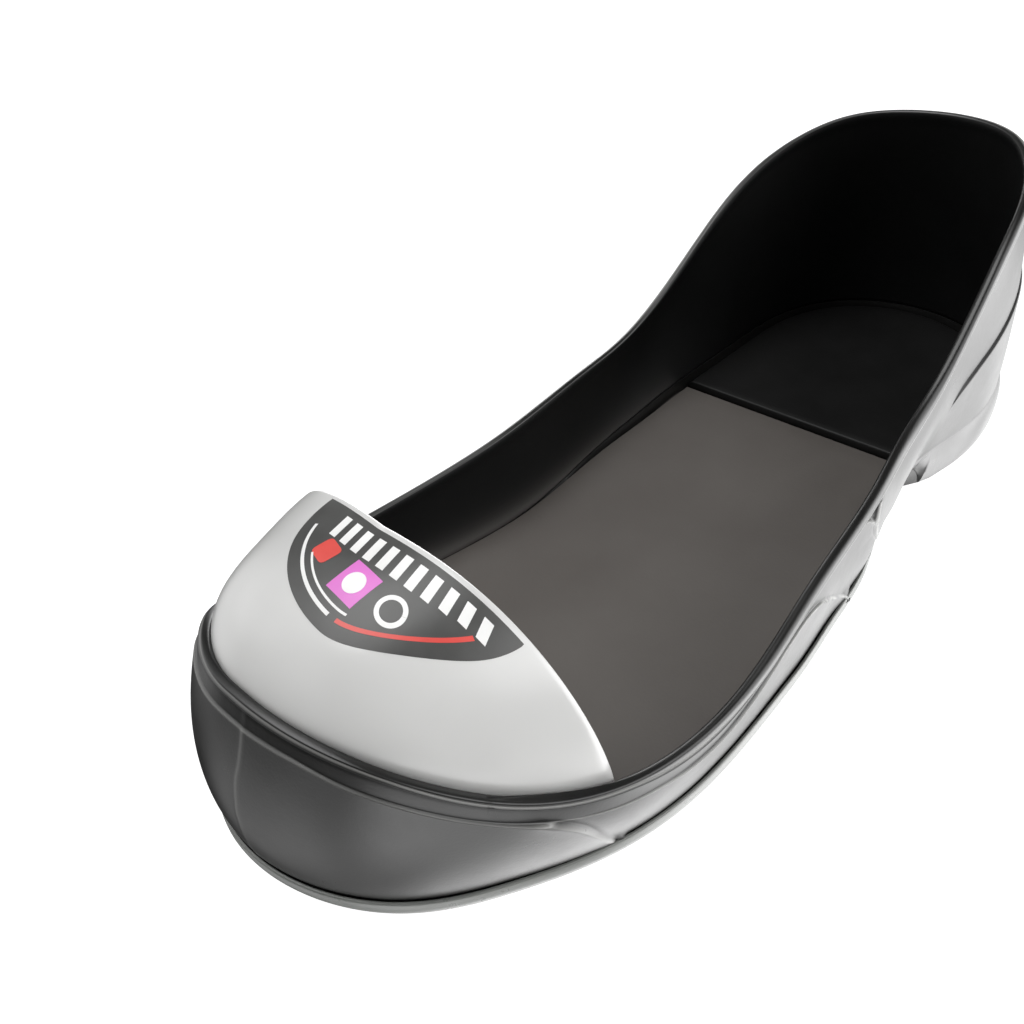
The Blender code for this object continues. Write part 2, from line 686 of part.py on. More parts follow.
def make_toe_cap():
    solid = Solid()
    pick, edge = cap_boundary()
    n = len(edge)
    centre = (edge[0][:2] + edge[-1][:2]) / 2
    outer = [[cap_point(edge, centre, i, r) for i in range(n)] for r in CAP_RINGS]
    outer.append([edge[i] for i in range(n)])
    skirt = []
    for j, k in enumerate(pick):
        z = edge[j][2] - CAP_SKIRT
        out = wall_out(k, z) - WALL - GAP - 0.15
        out = min(out, wall_out(k, edge[j][2]) + RIM[-2]["out"] - GAP - 0.1)
        skirt.append(np.array([*(XY[k] + NORMAL[k] * out), z]))
    outer.append(skirt)
    crown = cap_point(edge, centre, n // 2, 0.0)
    grid = np.array(outer)
    # inward normals from the grid's own differences
    du = np.zeros_like(grid)
    dv = np.zeros_like(grid)
    du[:, 1:-1] = grid[:, 2:] - grid[:, :-2]
    du[:, 0], du[:, -1] = grid[:, 1] - grid[:, 0], grid[:, -1] - grid[:, -2]
    dv[1:-1] = grid[2:] - grid[:-2]
    dv[0], dv[-1] = grid[1] - crown, grid[-1] - grid[-2]
    normal = np.cross(du, dv)
    normal /= np.linalg.norm(normal, axis=2)[..., None]
    mid = grid.mean(axis=(0, 1))
    if ((grid - mid) * normal).sum() < 0:
        normal = -normal
    # the rear edge is a flat cut, so its offset stays in the cut
    for col in (0, -1):
        normal[:, col, 1] *= 0.1
        normal[:, col] /= np.linalg.norm(normal[:, col], axis=1)[:, None]
    inner = grid - normal * CAP_PLATE
    o = [solid.ring(row) for row in grid]
    i = [solid.ring(row) for row in inner]
    oc = solid.point(*crown)
    ic = solid.point(crown[0], crown[1], crown[2] - CAP_PLATE)
    for rows, c in ((o, oc), (i, ic)):
        for a, b in zip(rows, rows[1:]):
            solid.bridge(a, b, closed=False)
        for j in range(n - 1):
            solid.f.append([c, rows[0][j], rows[0][j + 1]])
    solid.bridge(o[-1], i[-1], closed=False)
    path_o = [row[0] for row in o[::-1]] + [oc] + [row[-1] for row in o]
    path_i = [row[0] for row in i[::-1]] + [ic] + [row[-1] for row in i]
    solid.bridge(path_o, path_i, closed=False)
    return solid.build("toe_cap", (0.62, 0.62, 0.61), 0.25, 0.3)


def centre(things):
    """Moves all the pieces so that their common box stands on the origin."""
    co = np.array([v.co for thing in things for v in thing.data.vertices])
    lo, hi = co.min(axis=0), co.max(axis=0)
    shift = Vector(((lo[0] + hi[0]) / 2, (lo[1] + hi[1]) / 2, lo[2]))
    for thing in things:
        for v in thing.data.vertices:
            v.co -= shift
    return shift


def main():
    for thing in list(bpy.data.objects):
        bpy.data.objects.remove(thing, do_unlink=True)
    return centre([make_outsole(), make_upper(), make_insole(), make_heel_seat(),
                   make_toe_cap()])


if __name__ == "__main__":
    main()
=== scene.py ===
import math

import bmesh
import bpy
import numpy as np
from mathutils import Matrix, Vector
from mathutils.bvhtree import BVHTree
from mathutils.geometry import delaunay_2d_cdt


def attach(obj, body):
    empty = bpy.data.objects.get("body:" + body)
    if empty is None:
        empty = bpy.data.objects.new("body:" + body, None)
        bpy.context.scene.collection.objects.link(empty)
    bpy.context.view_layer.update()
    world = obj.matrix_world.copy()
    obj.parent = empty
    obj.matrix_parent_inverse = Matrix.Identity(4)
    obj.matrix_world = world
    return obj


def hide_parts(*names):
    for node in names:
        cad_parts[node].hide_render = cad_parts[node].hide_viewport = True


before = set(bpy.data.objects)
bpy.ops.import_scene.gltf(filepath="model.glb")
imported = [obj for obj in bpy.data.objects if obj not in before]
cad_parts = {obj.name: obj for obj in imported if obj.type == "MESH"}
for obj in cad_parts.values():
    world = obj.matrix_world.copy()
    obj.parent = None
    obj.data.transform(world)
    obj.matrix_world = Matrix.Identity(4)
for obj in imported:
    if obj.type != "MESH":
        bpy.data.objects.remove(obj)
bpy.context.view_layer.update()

MM = 0.001
SHIFT = np.array([3.8366, 0.4432, 0.0])   # from the shoe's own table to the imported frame, mm

# ---------------------------------------------------------------- sizes, as in the part
LENGTH = 300.0
HEEL_X = 3.0
TOE_X = -6.0
TOE_SPRING = 10.0
SPRING_FROM = 0.70
ARCH_EDGE = 9.5
ARCH_MIDDLE = 4.6
FLOOR_RISE = 4.4
ARCH_FRONT = 0.60
ARCH_BACK = 0.31
LUG = 1.6
SOLE_EDGE = 5.6
LEDGE_IN = 1.3
WALL = 2.0
GAP = 0.35
BOARD = 2.4
HEEL_SEAT_RISE = 2.2
BREAST = 0.275
SCOOP = 10.0
BREAST_BOW = 15.0
CAP_STATION = 0.805
CAP_CROWN = 76.5
CAP_PLATE = 1.8
CAP_SKIRT = 9.0
CAP_LEAN = 5.0

SECTIONS = (
    dict(at=0.000, lateral=None, medial=None, rim=87.0, lean_lat=5.0, lean_med=5.0, belly=1.0),
    dict(at=0.035, lateral=33.0, medial=26.0, rim=86.0, lean_lat=5.0, lean_med=4.0, belly=1.0),
    dict(at=0.100, lateral=45.5, medial=38.5, rim=81.0, lean_lat=3.7, lean_med=1.5, belly=1.0),
    dict(at=0.200, lateral=50.5, medial=42.0, rim=69.0, lean_lat=2.3, lean_med=-2.0, belly=1.2),
    dict(at=0.300, lateral=47.0, medial=43.0, rim=49.5, lean_lat=-3.8, lean_med=-4.0, belly=3.2),
    dict(at=0.380, lateral=50.0, medial=43.5, rim=41.0, lean_lat=-2.4, lean_med=-3.5, belly=3.2),
    dict(at=0.450, lateral=56.0, medial=45.0, rim=39.0, lean_lat=-0.4, lean_med=-2.0, belly=1.2),
    dict(at=0.580, lateral=60.0, medial=45.5, rim=36.0, lean_lat=-1.2, lean_med=-1.5, belly=0.8),
    dict(at=0.700, lateral=60.0, medial=52.0, rim=32.0, lean_lat=-4.8, lean_med=-2.0, belly=1.2),
    dict(at=0.800, lateral=56.0, medial=55.5, rim=34.0, lean_lat=-4.4, lean_med=1.0, belly=2.0),
    dict(at=0.880, lateral=47.0, medial=49.5, rim=44.0, lean_lat=-1.5, lean_med=6.5, belly=2.4),
    dict(at=0.950, lateral=33.0, medial=37.0, rim=56.7, lean_lat=5.5, lean_med=11.0, belly=2.6),
    dict(at=1.000, lateral=None, medial=None, rim=61.0, lean_lat=12.5, lean_med=12.5, belly=2.6),
)
BEAD_IN = -2.3          # the bead's inner face, inward of the wall's outer face

TUCK = (
    dict(at=0.225, lateral=0.0, medial=0.0),
    dict(at=0.260, lateral=0.5, medial=0.5),
    dict(at=0.285, lateral=2.5, medial=2.0),
    dict(at=0.320, lateral=6.5, medial=5.0),
    dict(at=0.380, lateral=4.0, medial=3.5),
    dict(at=0.450, lateral=0.0, medial=0.0),
)

# ---------------------------------------------------------------- lines moulded in the walls
# u is the arc length along the sole edge from the toe's tip, the same on both
# sides; z is the height above the ground; drop is down from the rim, all in mm
PANEL_TOP = (  # upper edge of the toe and forefoot panels, down to the foxing
    dict(u=0, drop=4.2), dict(u=25, drop=4.3), dict(u=40, drop=5.4), dict(u=60, drop=6.0),
    dict(u=96, drop=6.2), dict(u=107, drop=7.3), dict(u=116, drop=7.6), dict(u=127, drop=6.8),
    dict(u=136, drop=5.6), dict(u=143, drop=5.0), dict(u=149.5, drop=5.2), dict(u=155.9, drop=6.2),
    dict(u=161.7, drop=8.6), dict(u=167.0, drop=12.3), dict(u=172.0, drop=16.8),
    dict(u=178.5, drop=22.8), dict(u=184.8, drop=29.4), dict(u=187.0, drop=34.0),
)
BEAD_LINE = (  # lower edge of the rim's bead
    dict(u=0, drop=1.1), dict(u=45, drop=1.2), dict(u=60, drop=1.6), dict(u=90, drop=1.7),
    dict(u=102, drop=2.6), dict(u=114, drop=3.2), dict(u=140, drop=2.6), dict(u=175, drop=2.6),
    dict(u=230, drop=2.8), dict(u=370, drop=2.8),
)
FOREFOOT_END = (  # the steep end of the forefoot panel, used to lay the mesh along it
    dict(z=6.0, u=186.5), dict(z=8.8, u=184.8), dict(z=15.0, u=178.5), dict(z=21.0, u=172.0),
    dict(z=24.5, u=168.0), dict(z=30.0, u=167.0),
)
VAMP_END = (  # where the toe panel laps over the forefoot panel
    dict(z=-10, u=95.0), dict(z=6.2, u=90.3), dict(z=16.3, u=85.9), dict(z=26.9, u=80.6),
    dict(z=31.0, u=77.0), dict(z=33.2, u=74.4), dict(z=40.0, u=66.0),
)
QUARTER_EDGE = (  # front edge of the rear quarter
    dict(z=0.0, u=211.0), dict(z=11.6, u=205.1), dict(z=20.0, u=198.6), dict(z=26.5, u=194.3),
    dict(z=29.9, u=193.0), dict(z=34.7, u=194.1), dict(z=38.2, u=196.5), dict(z=45.0, u=202.0),
)
MID_END = (  # rounded upper end of the middle panel
    dict(z=26.0, u=197.0), dict(z=30.9, u=192.6), dict(z=35.9, u=186.6), dict(z=38.0, u=183.0),
    dict(z=45.0, u=171.0),
)
COUNTER = (  # upper edge of the heel counter
    dict(u=245, z=27.5), dict(u=250.8, z=31.8), dict(u=256.1, z=35.3), dict(u=264.6, z=38.1),
    dict(u=276.1, z=41.0), dict(u=286.7, z=43.9), dict(u=298.8, z=47.4), dict(u=315, z=51.5),
    dict(u=340, z=56.0), dict(u=375, z=58.0),
)
TOE_SEAM = (  # parting line of the mould at the toe
    dict(z=-10, u=5.4), dict(z=34.9, u=6.8), dict(z=38.3, u=7.3), dict(z=44.2, u=8.2),
    dict(z=49.9, u=9.9), dict(z=56.3, u=10.9), dict(z=70, u=11.0),
)


def smooth(x):
    x = np.clip(x, 0.0, 1.0)
    return x * x * (3.0 - 2.0 * x)


def natural_spline(knots, values):
    x = np.asarray(knots, float)
    y = np.asarray(values, float)
    n = len(x)
    h = np.diff(x)
    a = np.zeros((n, n))
    b = np.zeros(n)
    a[0, 0] = a[-1, -1] = 1.0
    for i in range(1, n - 1):
        a[i, i - 1], a[i, i], a[i, i + 1] = h[i - 1], 2 * (h[i - 1] + h[i]), h[i]
        b[i] = 6 * ((y[i + 1] - y[i]) / h[i] - (y[i] - y[i - 1]) / h[i - 1])
    m = np.linalg.solve(a, b)

    def value(t):
        t = np.clip(np.asarray(t, float), x[0], x[-1])
        i = np.clip(np.searchsorted(x, t, side="right") - 1, 0, n - 2)
        u, w = x[i + 1] - t, t - x[i]
        return ((m[i] * u ** 3 + m[i + 1] * w ** 3) / (6 * h[i])
                + (y[i] / h[i] - m[i] * h[i] / 6) * u
                + (y[i + 1] / h[i] - m[i + 1] * h[i] / 6) * w)
    return value


def hermite(rows, key, name):
    """A smooth curve through a table that never overshoots its values."""
    x = np.array([row[key] for row in rows], float)
    y = np.array([row[name] for row in rows], float)
    d = np.diff(y) / np.diff(x)
    m = np.zeros(len(x))
    for i in range(1, len(x) - 1):
        if d[i - 1] * d[i] > 0:
            w1, w2 = 2 * (x[i + 1] - x[i]) + (x[i] - x[i - 1]), (x[i + 1] - x[i]) + 2 * (x[i] - x[i - 1])
            m[i] = (w1 + w2) / (w1 / d[i - 1] + w2 / d[i])
    m[0], m[-1] = d[0], d[-1]

    def value(t):
        t = np.clip(np.asarray(t, float), x[0], x[-1])
        i = np.clip(np.searchsorted(x, t, side="right") - 1, 0, len(x) - 2)
        h = x[i + 1] - x[i]
        w = (t - x[i]) / h
        return (y[i] * (1 + 2 * w) * (1 - w) ** 2 + h * m[i] * w * (1 - w) ** 2
                + y[i + 1] * w * w * (3 - 2 * w) + h * m[i + 1] * w * w * (w - 1))
    return value


def closed_spline(points, fine):
    p = np.asarray(points, float)
    n = len(p)
    h = np.linalg.norm(np.roll(p, -1, axis=0) - p, axis=1)
    a = np.zeros((n, n))
    b = np.zeros((n, 2))
    for i in range(n):
        j, k = (i - 1) % n, (i + 1) % n
        a[i, j] += h[j]
        a[i, i] += 2 * (h[j] + h[i])
        a[i, k] += h[i]
        b[i] = 6 * ((p[k] - p[i]) / h[i] - (p[i] - p[j]) / h[j])
    m = np.linalg.solve(a, b)
    start = np.r_[0.0, np.cumsum(h)]
    t = np.linspace(0.0, start[-1], fine + 1)[:-1]
    i = np.clip(np.searchsorted(start, t, side="right") - 1, 0, n - 1)
    k = (i + 1) % n
    hi = h[i][:, None]
    u, w = (start[i + 1] - t)[:, None], (t - start[i])[:, None]
    xy = ((m[i] * u ** 3 + m[k] * w ** 3) / (6 * hi)
          + (p[i] / hi - m[i] * hi / 6) * u + (p[k] / hi - m[k] * hi / 6) * w)
    d = np.roll(xy, -1, axis=0) - np.roll(xy, 1, axis=0)
    d /= np.linalg.norm(d, axis=1)[:, None]
    return xy, np.c_[d[:, 1], -d[:, 0]]


STATIONS = [row["at"] for row in SECTIONS]
rim_height = natural_spline(STATIONS, [row["rim"] for row in SECTIONS])
lean_lateral = natural_spline(STATIONS, [row["lean_lat"] for row in SECTIONS])
lean_medial = natural_spline(STATIONS, [row["lean_med"] for row in SECTIONS])
belly = natural_spline(STATIONS, [row["belly"] for row in SECTIONS])


def y_of(station):
    return LENGTH / 2 - station * LENGTH


def station_of(y):
    return (LENGTH / 2 - np.asarray(y, float)) / LENGTH


def spring(y):
    s = station_of(y)
    return TOE_SPRING * np.clip((s - SPRING_FROM) / (1 - SPRING_FROM), 0, 1) ** 1.9


def rise(y):
    return smooth((ARCH_FRONT - station_of(y)) / (ARCH_FRONT - ARCH_BACK))


def edge_lift(y):
    return spring(y) + ARCH_EDGE * rise(y)


def floor_height(y):
    return spring(y) + SOLE_EDGE + FLOOR_RISE * rise(y)


# ---------------------------------------------------------------- the sole edge, finely
FINE = 14080
STEP = 16
_rows = [row for row in SECTIONS if row["lateral"] is not None]
_points = [(HEEL_X, y_of(0.0))] + [(row["lateral"], y_of(row["at"])) for row in _rows]
_points += [(TOE_X, y_of(1.0))] + [(-row["medial"], y_of(row["at"])) for row in reversed(_rows)]
FXY, FN = closed_spline(_points, FINE)
if ((FXY - FXY.mean(axis=0)) * FN).sum() < 0:
    FN = -FN
TOE = int(np.argmin(FXY[:, 1]))
_seg = np.linalg.norm(np.roll(FXY, -1, axis=0) - FXY, axis=1)
_arc = np.r_[0.0, np.cumsum(_seg)]


class Side:
    """One side of the shoe as functions of u, the arc length that the lateral
    side has from the toe's tip at the same station."""

    def __init__(self, lateral):
        self.lateral = lateral
        index = np.arange(TOE, -1, -1) if lateral else np.arange(TOE, FINE + 1)
        self.xy, self.n = FXY[index % FINE], FN[index % FINE]
        self.station = station_of(self.xy[:, 1])
        if lateral:
            self.u = _arc[TOE] - _arc[index]
        else:
            own = _arc[index] - _arc[TOE]
            by_station = np.interp(self.station, LATERAL.station[::-1], LATERAL.u[::-1])
            blend = smooth(own / 25.0)
            scale = LATERAL.u[-1] / own[-1]
            self.u = np.maximum.accumulate(own * scale * (1 - blend) + by_station * blend)
            self.u[-1] = LATERAL.u[-1]
            self.u += np.linspace(0, 1e-6, len(self.u))

    def at(self, u):
        f = lambda a: np.interp(u, self.u, a)
        xy = np.stack([f(self.xy[:, 0]), f(self.xy[:, 1])], -1)
        n = np.stack([f(self.n[:, 0]), f(self.n[:, 1])], -1)
        n /= np.linalg.norm(n, axis=-1)[..., None]
        return xy, n


LATERAL = Side(True)
# the stations run from 1 at the toe to 0 at the heel, so interpolation needs them sorted
MEDIAL = Side(False)
U_END = float(LATERAL.u[-1])

# the hollow of the heel breast has columns at the same stations on both sides
HOLLOW = [BREAST + SCOOP / LENGTH * (1 - math.cos(math.radians(a))) for a in np.linspace(0, 90, 11)]
_chosen = set(range(0, FINE, STEP))
_station = station_of(FXY[:, 1])
_chosen = {i for i in _chosen
           if not (HOLLOW[0] - 0.002 < _station[i] < HOLLOW[-1] + 0.002)}
PAIRS = []
for s in HOLLOW:
    l = int(np.argmin(np.abs(_station[:TOE] - s)))
    m = TOE + int(np.argmin(np.abs(_station[TOE:] - s)))
    PAIRS.append((l, m))
    _chosen |= {l, m}
_chosen = {i for i in _chosen if i == TOE or abs(i - TOE) > STEP // 2} | {TOE}
INDEX = np.array(sorted(_chosen))
COUNT = len(INDEX)
XY, NORMAL = FXY[INDEX], FN[INDEX]
ON_LATERAL = INDEX <= TOE
STATION = station_of(XY[:, 1])
COLUMN_U = np.where(ON_LATERAL, np.interp(_arc[TOE] - _arc[INDEX], LATERAL.u, LATERAL.u),
                    np.interp(_arc[INDEX] - _arc[TOE], _arc[TOE:] - _arc[TOE], MEDIAL.u))
PAIRS = [(int(np.where(INDEX == l)[0][0]), int(np.where(INDEX == m)[0][0])) for l, m in PAIRS]


class Ring:
    """The shell's own quantities for one ring of vertices at given places u."""

    def __init__(self, u):
        la, ln = LATERAL.at(u)
        ma, mn = MEDIAL.at(u)
        on = ON_LATERAL[:, None]
        self.u = u
        self.xy = np.where(on, la, ma)
        self.n = np.where(on, ln, mn)
        self.s = station_of(self.xy[:, 1])
        self.lean = np.where(ON_LATERAL, lean_lateral(self.s), lean_medial(self.s))
        self.belly = belly(self.s)
        self.feather = edge_lift(self.xy[:, 1]) + SOLE_EDGE
        self.top = rim_height(self.s)

    def wall(self, z):
        f = np.clip((z - self.feather) / (self.top - self.feather), 0.0, 1.0)
        return -(LEDGE_IN * (1 - f) ** 2 + self.lean * f ** 1.5) + self.belly * 4 * f * (1 - f)

    def place(self, out, z):
        return np.c_[self.xy + self.n * np.asarray(out)[:, None], z]


BASE = Ring(COLUMN_U)
FOXING_LIP = 1.25  # how far the foxing's edge stands above the ledge, in front
FEATHER, TOP = BASE.feather, BASE.top

panel_top = hermite(PANEL_TOP, "u", "drop")
bead_line = hermite(BEAD_LINE, "u", "drop")
vamp_end = hermite(VAMP_END, "z", "u")
forefoot_end = hermite(FOREFOOT_END, "z", "u")
quarter_edge = hermite(QUARTER_EDGE, "z", "u")
mid_end = hermite(MID_END, "z", "u")
counter = hermite(COUNTER, "u", "z")
toe_seam = hermite(TOE_SEAM, "z", "u")


def flush(u):
    """1 where the wall runs smoothly into the foxing, behind the waist."""
    return smooth((u - 205.0) / 9.0)


def fuller(u, lateral):
    """The lateral side's foot is a little fuller at the ball, and a little
    slimmer behind it, than the plain outline."""
    ball = 1.5 * smooth(1 - np.abs(u - 112.0) / 52.0)
    return np.where(lateral, ball - 0.8 * smooth(1 - np.abs(u - 176.0) / 20.0), 0.0)


def relief(ring, z):
    """How far the moulded panels stand out of, or lie in, the plain wall."""
    u, fe, top = ring.u, ring.feather, ring.top
    g = z - fe
    drop = top - z
    # toe and forefoot panels, and the flat band above them
    s = drop - panel_top(u)
    dv = u - vamp_end(z)
    vamp = smooth(0.5 - dv / 1.1)
    amount = vamp * 0.95 + (1 - vamp) * np.interp(u, [70, 86, 105, 140, 160, 185], [.15, .30, .50, .70, .85, .70])
    reach = np.interp(u, [0, 80, 110, 150, 186], [9.0, 9.0, 6.0, 5.0, 4.5])
    crest = amount * np.exp(-np.maximum(s, 0) / reach)
    band = np.interp(u, [0, 40, 80, 110, 150], [0.30, 0.22, 0.05, -0.05, 0.0])
    edge = smooth(0.5 + s / 0.45)
    ends = smooth((187.0 - u) / 3.0)
    out = edge * crest * ends + (1 - edge) * band
    # the toe panel's rear lip
    low = smooth((s + 0.3) / 0.6)
    lip = 0.62 * np.exp(np.minimum(dv, 0) / 5.5) * vamp - 0.28 * np.exp(-np.maximum(dv, 0) / 3.5) * (1 - vamp)
    out += low * lip * smooth((u - 60) / 14) * np.clip(g / 3.0, 0.25, 1)
    # middle panel: swells to its rounded end, then steps down into the recess
    dm = u - mid_end(z)
    dq = u - quarter_edge(z)
    mid = smooth(0.5 - dm / 0.9)
    swell = 0.85 * np.exp(np.minimum(dm, 0) / 7.0)
    zone = smooth((u - 168) / 14)
    out += zone * (mid * swell) * smooth(0.5 - dq / 1.2)
    # recess and the quarter's raised front edge
    front = smooth(0.5 + dq / 0.9)
    out += smooth((u - 176) / 8) * (1 - mid) * (1 - front) * -0.55
    ridge = np.exp(-((dq - 1.3) / 1.0) ** 2) * 0.35 - np.exp(-((dq - 3.0) / 0.8) ** 2) * 0.12
    fade = smooth((g - 1.0) / 6.0)
    out += front * (0.75 * np.exp(-np.maximum(dq, 0) / 9.0) * fade + ridge * smooth((z - 24) / 6)) * smooth((u - 180) / 6)
    out -= 0.75 * np.exp(-(np.minimum(dq, 0) / 0.9) ** 2) * (1 - front) * smooth((u - 186) / 4) * smooth((31.5 - z) / 3)
    # groove above the foxing, with its two interruptions
    f = np.clip(g / (top - fe), 0, 1)
    open_ = smooth((204.5 - u) / 1.5)
    stops = np.maximum(smooth(1.4 - np.abs(u - 90.9) / 1.0), smooth(1.7 - np.abs(u - 184.8) / 1.1))
    wide = np.interp(u, [0, 60, 90, 200], [2.3, 2.2, 1.9, 1.8])
    depth = np.interp(u, [0, 60, 90, 200], [0.75, 0.75, 0.75, 0.75])
    out -= depth * np.clip(1 - g / wide, 0, 1) ** 2 * open_ * (1 - stops)
    out += LEDGE_IN * (1 - f) ** 2 * stops * np.exp(-g / 2.0) * open_
    # smooth rear quarter
    out += LEDGE_IN * (1 - f) ** 2 * flush(u)
    # heel counter
    dz = counter(u) - z
    grow = smooth((u - 249.0) / 12.0)
    out += grow * 0.70 * smooth(0.5 + dz / 0.5) * np.exp(-np.maximum(dz, 0) / 12.0)
    out -= smooth((u - 249.5) / 6.0) * 0.55 * np.exp(-((dz + 0.30) / 0.42) ** 2)
    # parting line at the toe, on the lateral side only
    ds = u - toe_seam(z)
    out += fuller(u, ON_LATERAL) * (1 - f) ** 0.7
    seam = 0.16 * np.exp(-(ds / 0.42) ** 2) + 0.10 * smooth(0.5 + ds / 0.8) * np.exp(-np.maximum(ds, 0) / 6.0)
    out += np.where(ON_LATERAL, seam, 0.0) * smooth((u - 0.5) / 2.0)
    return out


def painted_crest_highlight(ring, z):
    """Painted highlight along the moulded edges, where they would catch the light: 1 along each crest, 0 elsewhere."""
    u, drop, g = ring.u, ring.top - z, z - ring.feather
    s = drop - panel_top(u)
    dv, dm, dq = u - vamp_end(z), u - mid_end(z), u - quarter_edge(z)
    strength = np.interp(u, [0, 30, 60, 80, 100, 150, 187], [0.20, 0.17, 0.17, 0.32, 0.50, 0.58, 0.55])
    line = strength * np.exp(-((s - 0.12) / 0.20) ** 2) * smooth((187.0 - u) / 3.0)
    below = smooth((s + 0.2) / 0.5) * smooth(g / 1.5)
    line += 0.32 * np.exp(-((dv + 0.5) / 0.45) ** 2) * below * smooth((u - 62.0) / 8.0)
    line += 0.40 * np.exp(-((dm + 0.5) / 0.60) ** 2) * smooth((u - 166.0) / 8.0) * smooth((0.5 - dq) / 1.0) * smooth((g - 4.0) / 7.0)
    line += 0.45 * np.exp(-((dq - 1.0) / 0.50) ** 2) * smooth((u - 180.0) / 5.0) * smooth(g / 1.5)
    ds = u - toe_seam(z)
    line += np.where(ON_LATERAL, 0.16 * np.exp(-(ds / 0.45) ** 2), 0.0) * smooth((u - 0.5) / 2.0) * smooth((s + 0.2) / 0.5)
    return np.clip(line, 0.0, 1.0)


def follow(u, z):
    """Shears the columns so that they run along the steep moulded lines."""
    v = u.copy()
    v += (vamp_end(z) - 84.0) * smooth(1 - np.abs(u - 84.0) / 22.0)
    v += (forefoot_end(z) - 176.0) * smooth(1 - np.abs(u - 176.0) / 19.0)
    v += (quarter_edge(np.clip(z, 8, 39)) - 197.0) * smooth(1 - np.abs(u - 197.0) / 17.0)
    v += np.where(ON_LATERAL, (toe_seam(z) - 8.5) * smooth(1 - np.abs(u - 8.5) / 8.5), 0.0)
    return v


def settled(z_of):
    """A ring whose columns follow the moulded lines at the height that
    z_of(ring) gives."""
    ring = BASE
    z = z_of(ring)
    for _ in range(4):
        ring = Ring(follow(COLUMN_U, z))
        z = z_of(ring)
    return ring, z


# ---------------------------------------------------------------- meshes
def mesh_object(name, verts, faces, materials, index=None, sharp=None):
    """verts in the shoe's own millimetres; faces as one array or a list."""
    mesh = bpy.data.meshes.new(name)
    co = (np.asarray(verts, float) - SHIFT) * MM
    if isinstance(faces, np.ndarray):
        faces = faces.tolist()
    mesh.from_pydata(co.tolist(), [], faces)
    for material in materials:
        mesh.materials.append(material)
    if index is not None:
        mesh.polygons.foreach_set("material_index", np.asarray(index, np.int32))
    mesh.shade_smooth()
    if sharp:
        mesh.set_sharp_from_angle(angle=math.radians(sharp))
    mesh.update()
    thing = bpy.data.objects.new(name, mesh)
    bpy.context.scene.collection.objects.link(thing)
    return thing


def bridge(a, b, closed=True):
    n = len(a)
    a, b = np.asarray(a), np.asarray(b)
    if closed:
        return np.stack([a, np.roll(a, -1), np.roll(b, -1), b], 1)
    return np.stack([a[:-1], a[1:], b[1:], b[:-1]], 1)


def outward(thing):
    """Turns the faces of a closed mesh outward."""
    mesh = thing.data
    n = len(mesh.vertices)
    co = np.zeros(n * 3)
    mesh.vertices.foreach_get("co", co)
    co = co.reshape(-1, 3)
    mesh.calc_loop_triangles()
    tri = np.zeros(len(mesh.loop_triangles) * 3, np.int32)
    mesh.loop_triangles.foreach_get("vertices", tri)
    tri = tri.reshape(-1, 3)
    volume = np.einsum("ij,ij->i", co[tri[:, 0]], np.cross(co[tri[:, 1]], co[tri[:, 2]])).sum()
    if volume < 0:
        mesh.flip_normals()
    return thing


def inside(points, poly):
    """For each point, whether it lies in the polygon."""
    points = np.asarray(points, float)
    out = np.zeros(len(points), bool)
    px, py = poly[:, 0], poly[:, 1]
    qx, qy = np.roll(px, -1), np.roll(py, -1)
    for a in range(0, len(points), 4000):
        x, y = points[a:a + 4000, 0:1], points[a:a + 4000, 1:2]
        hit = (py > y) != (qy > y)
        with np.errstate(divide="ignore", invalid="ignore"):
            cross = px + (y - py) * (qx - px) / (qy - py)
        out[a:a + 4000] = np.count_nonzero(hit & (x < cross), axis=1) % 2 == 1
    return out


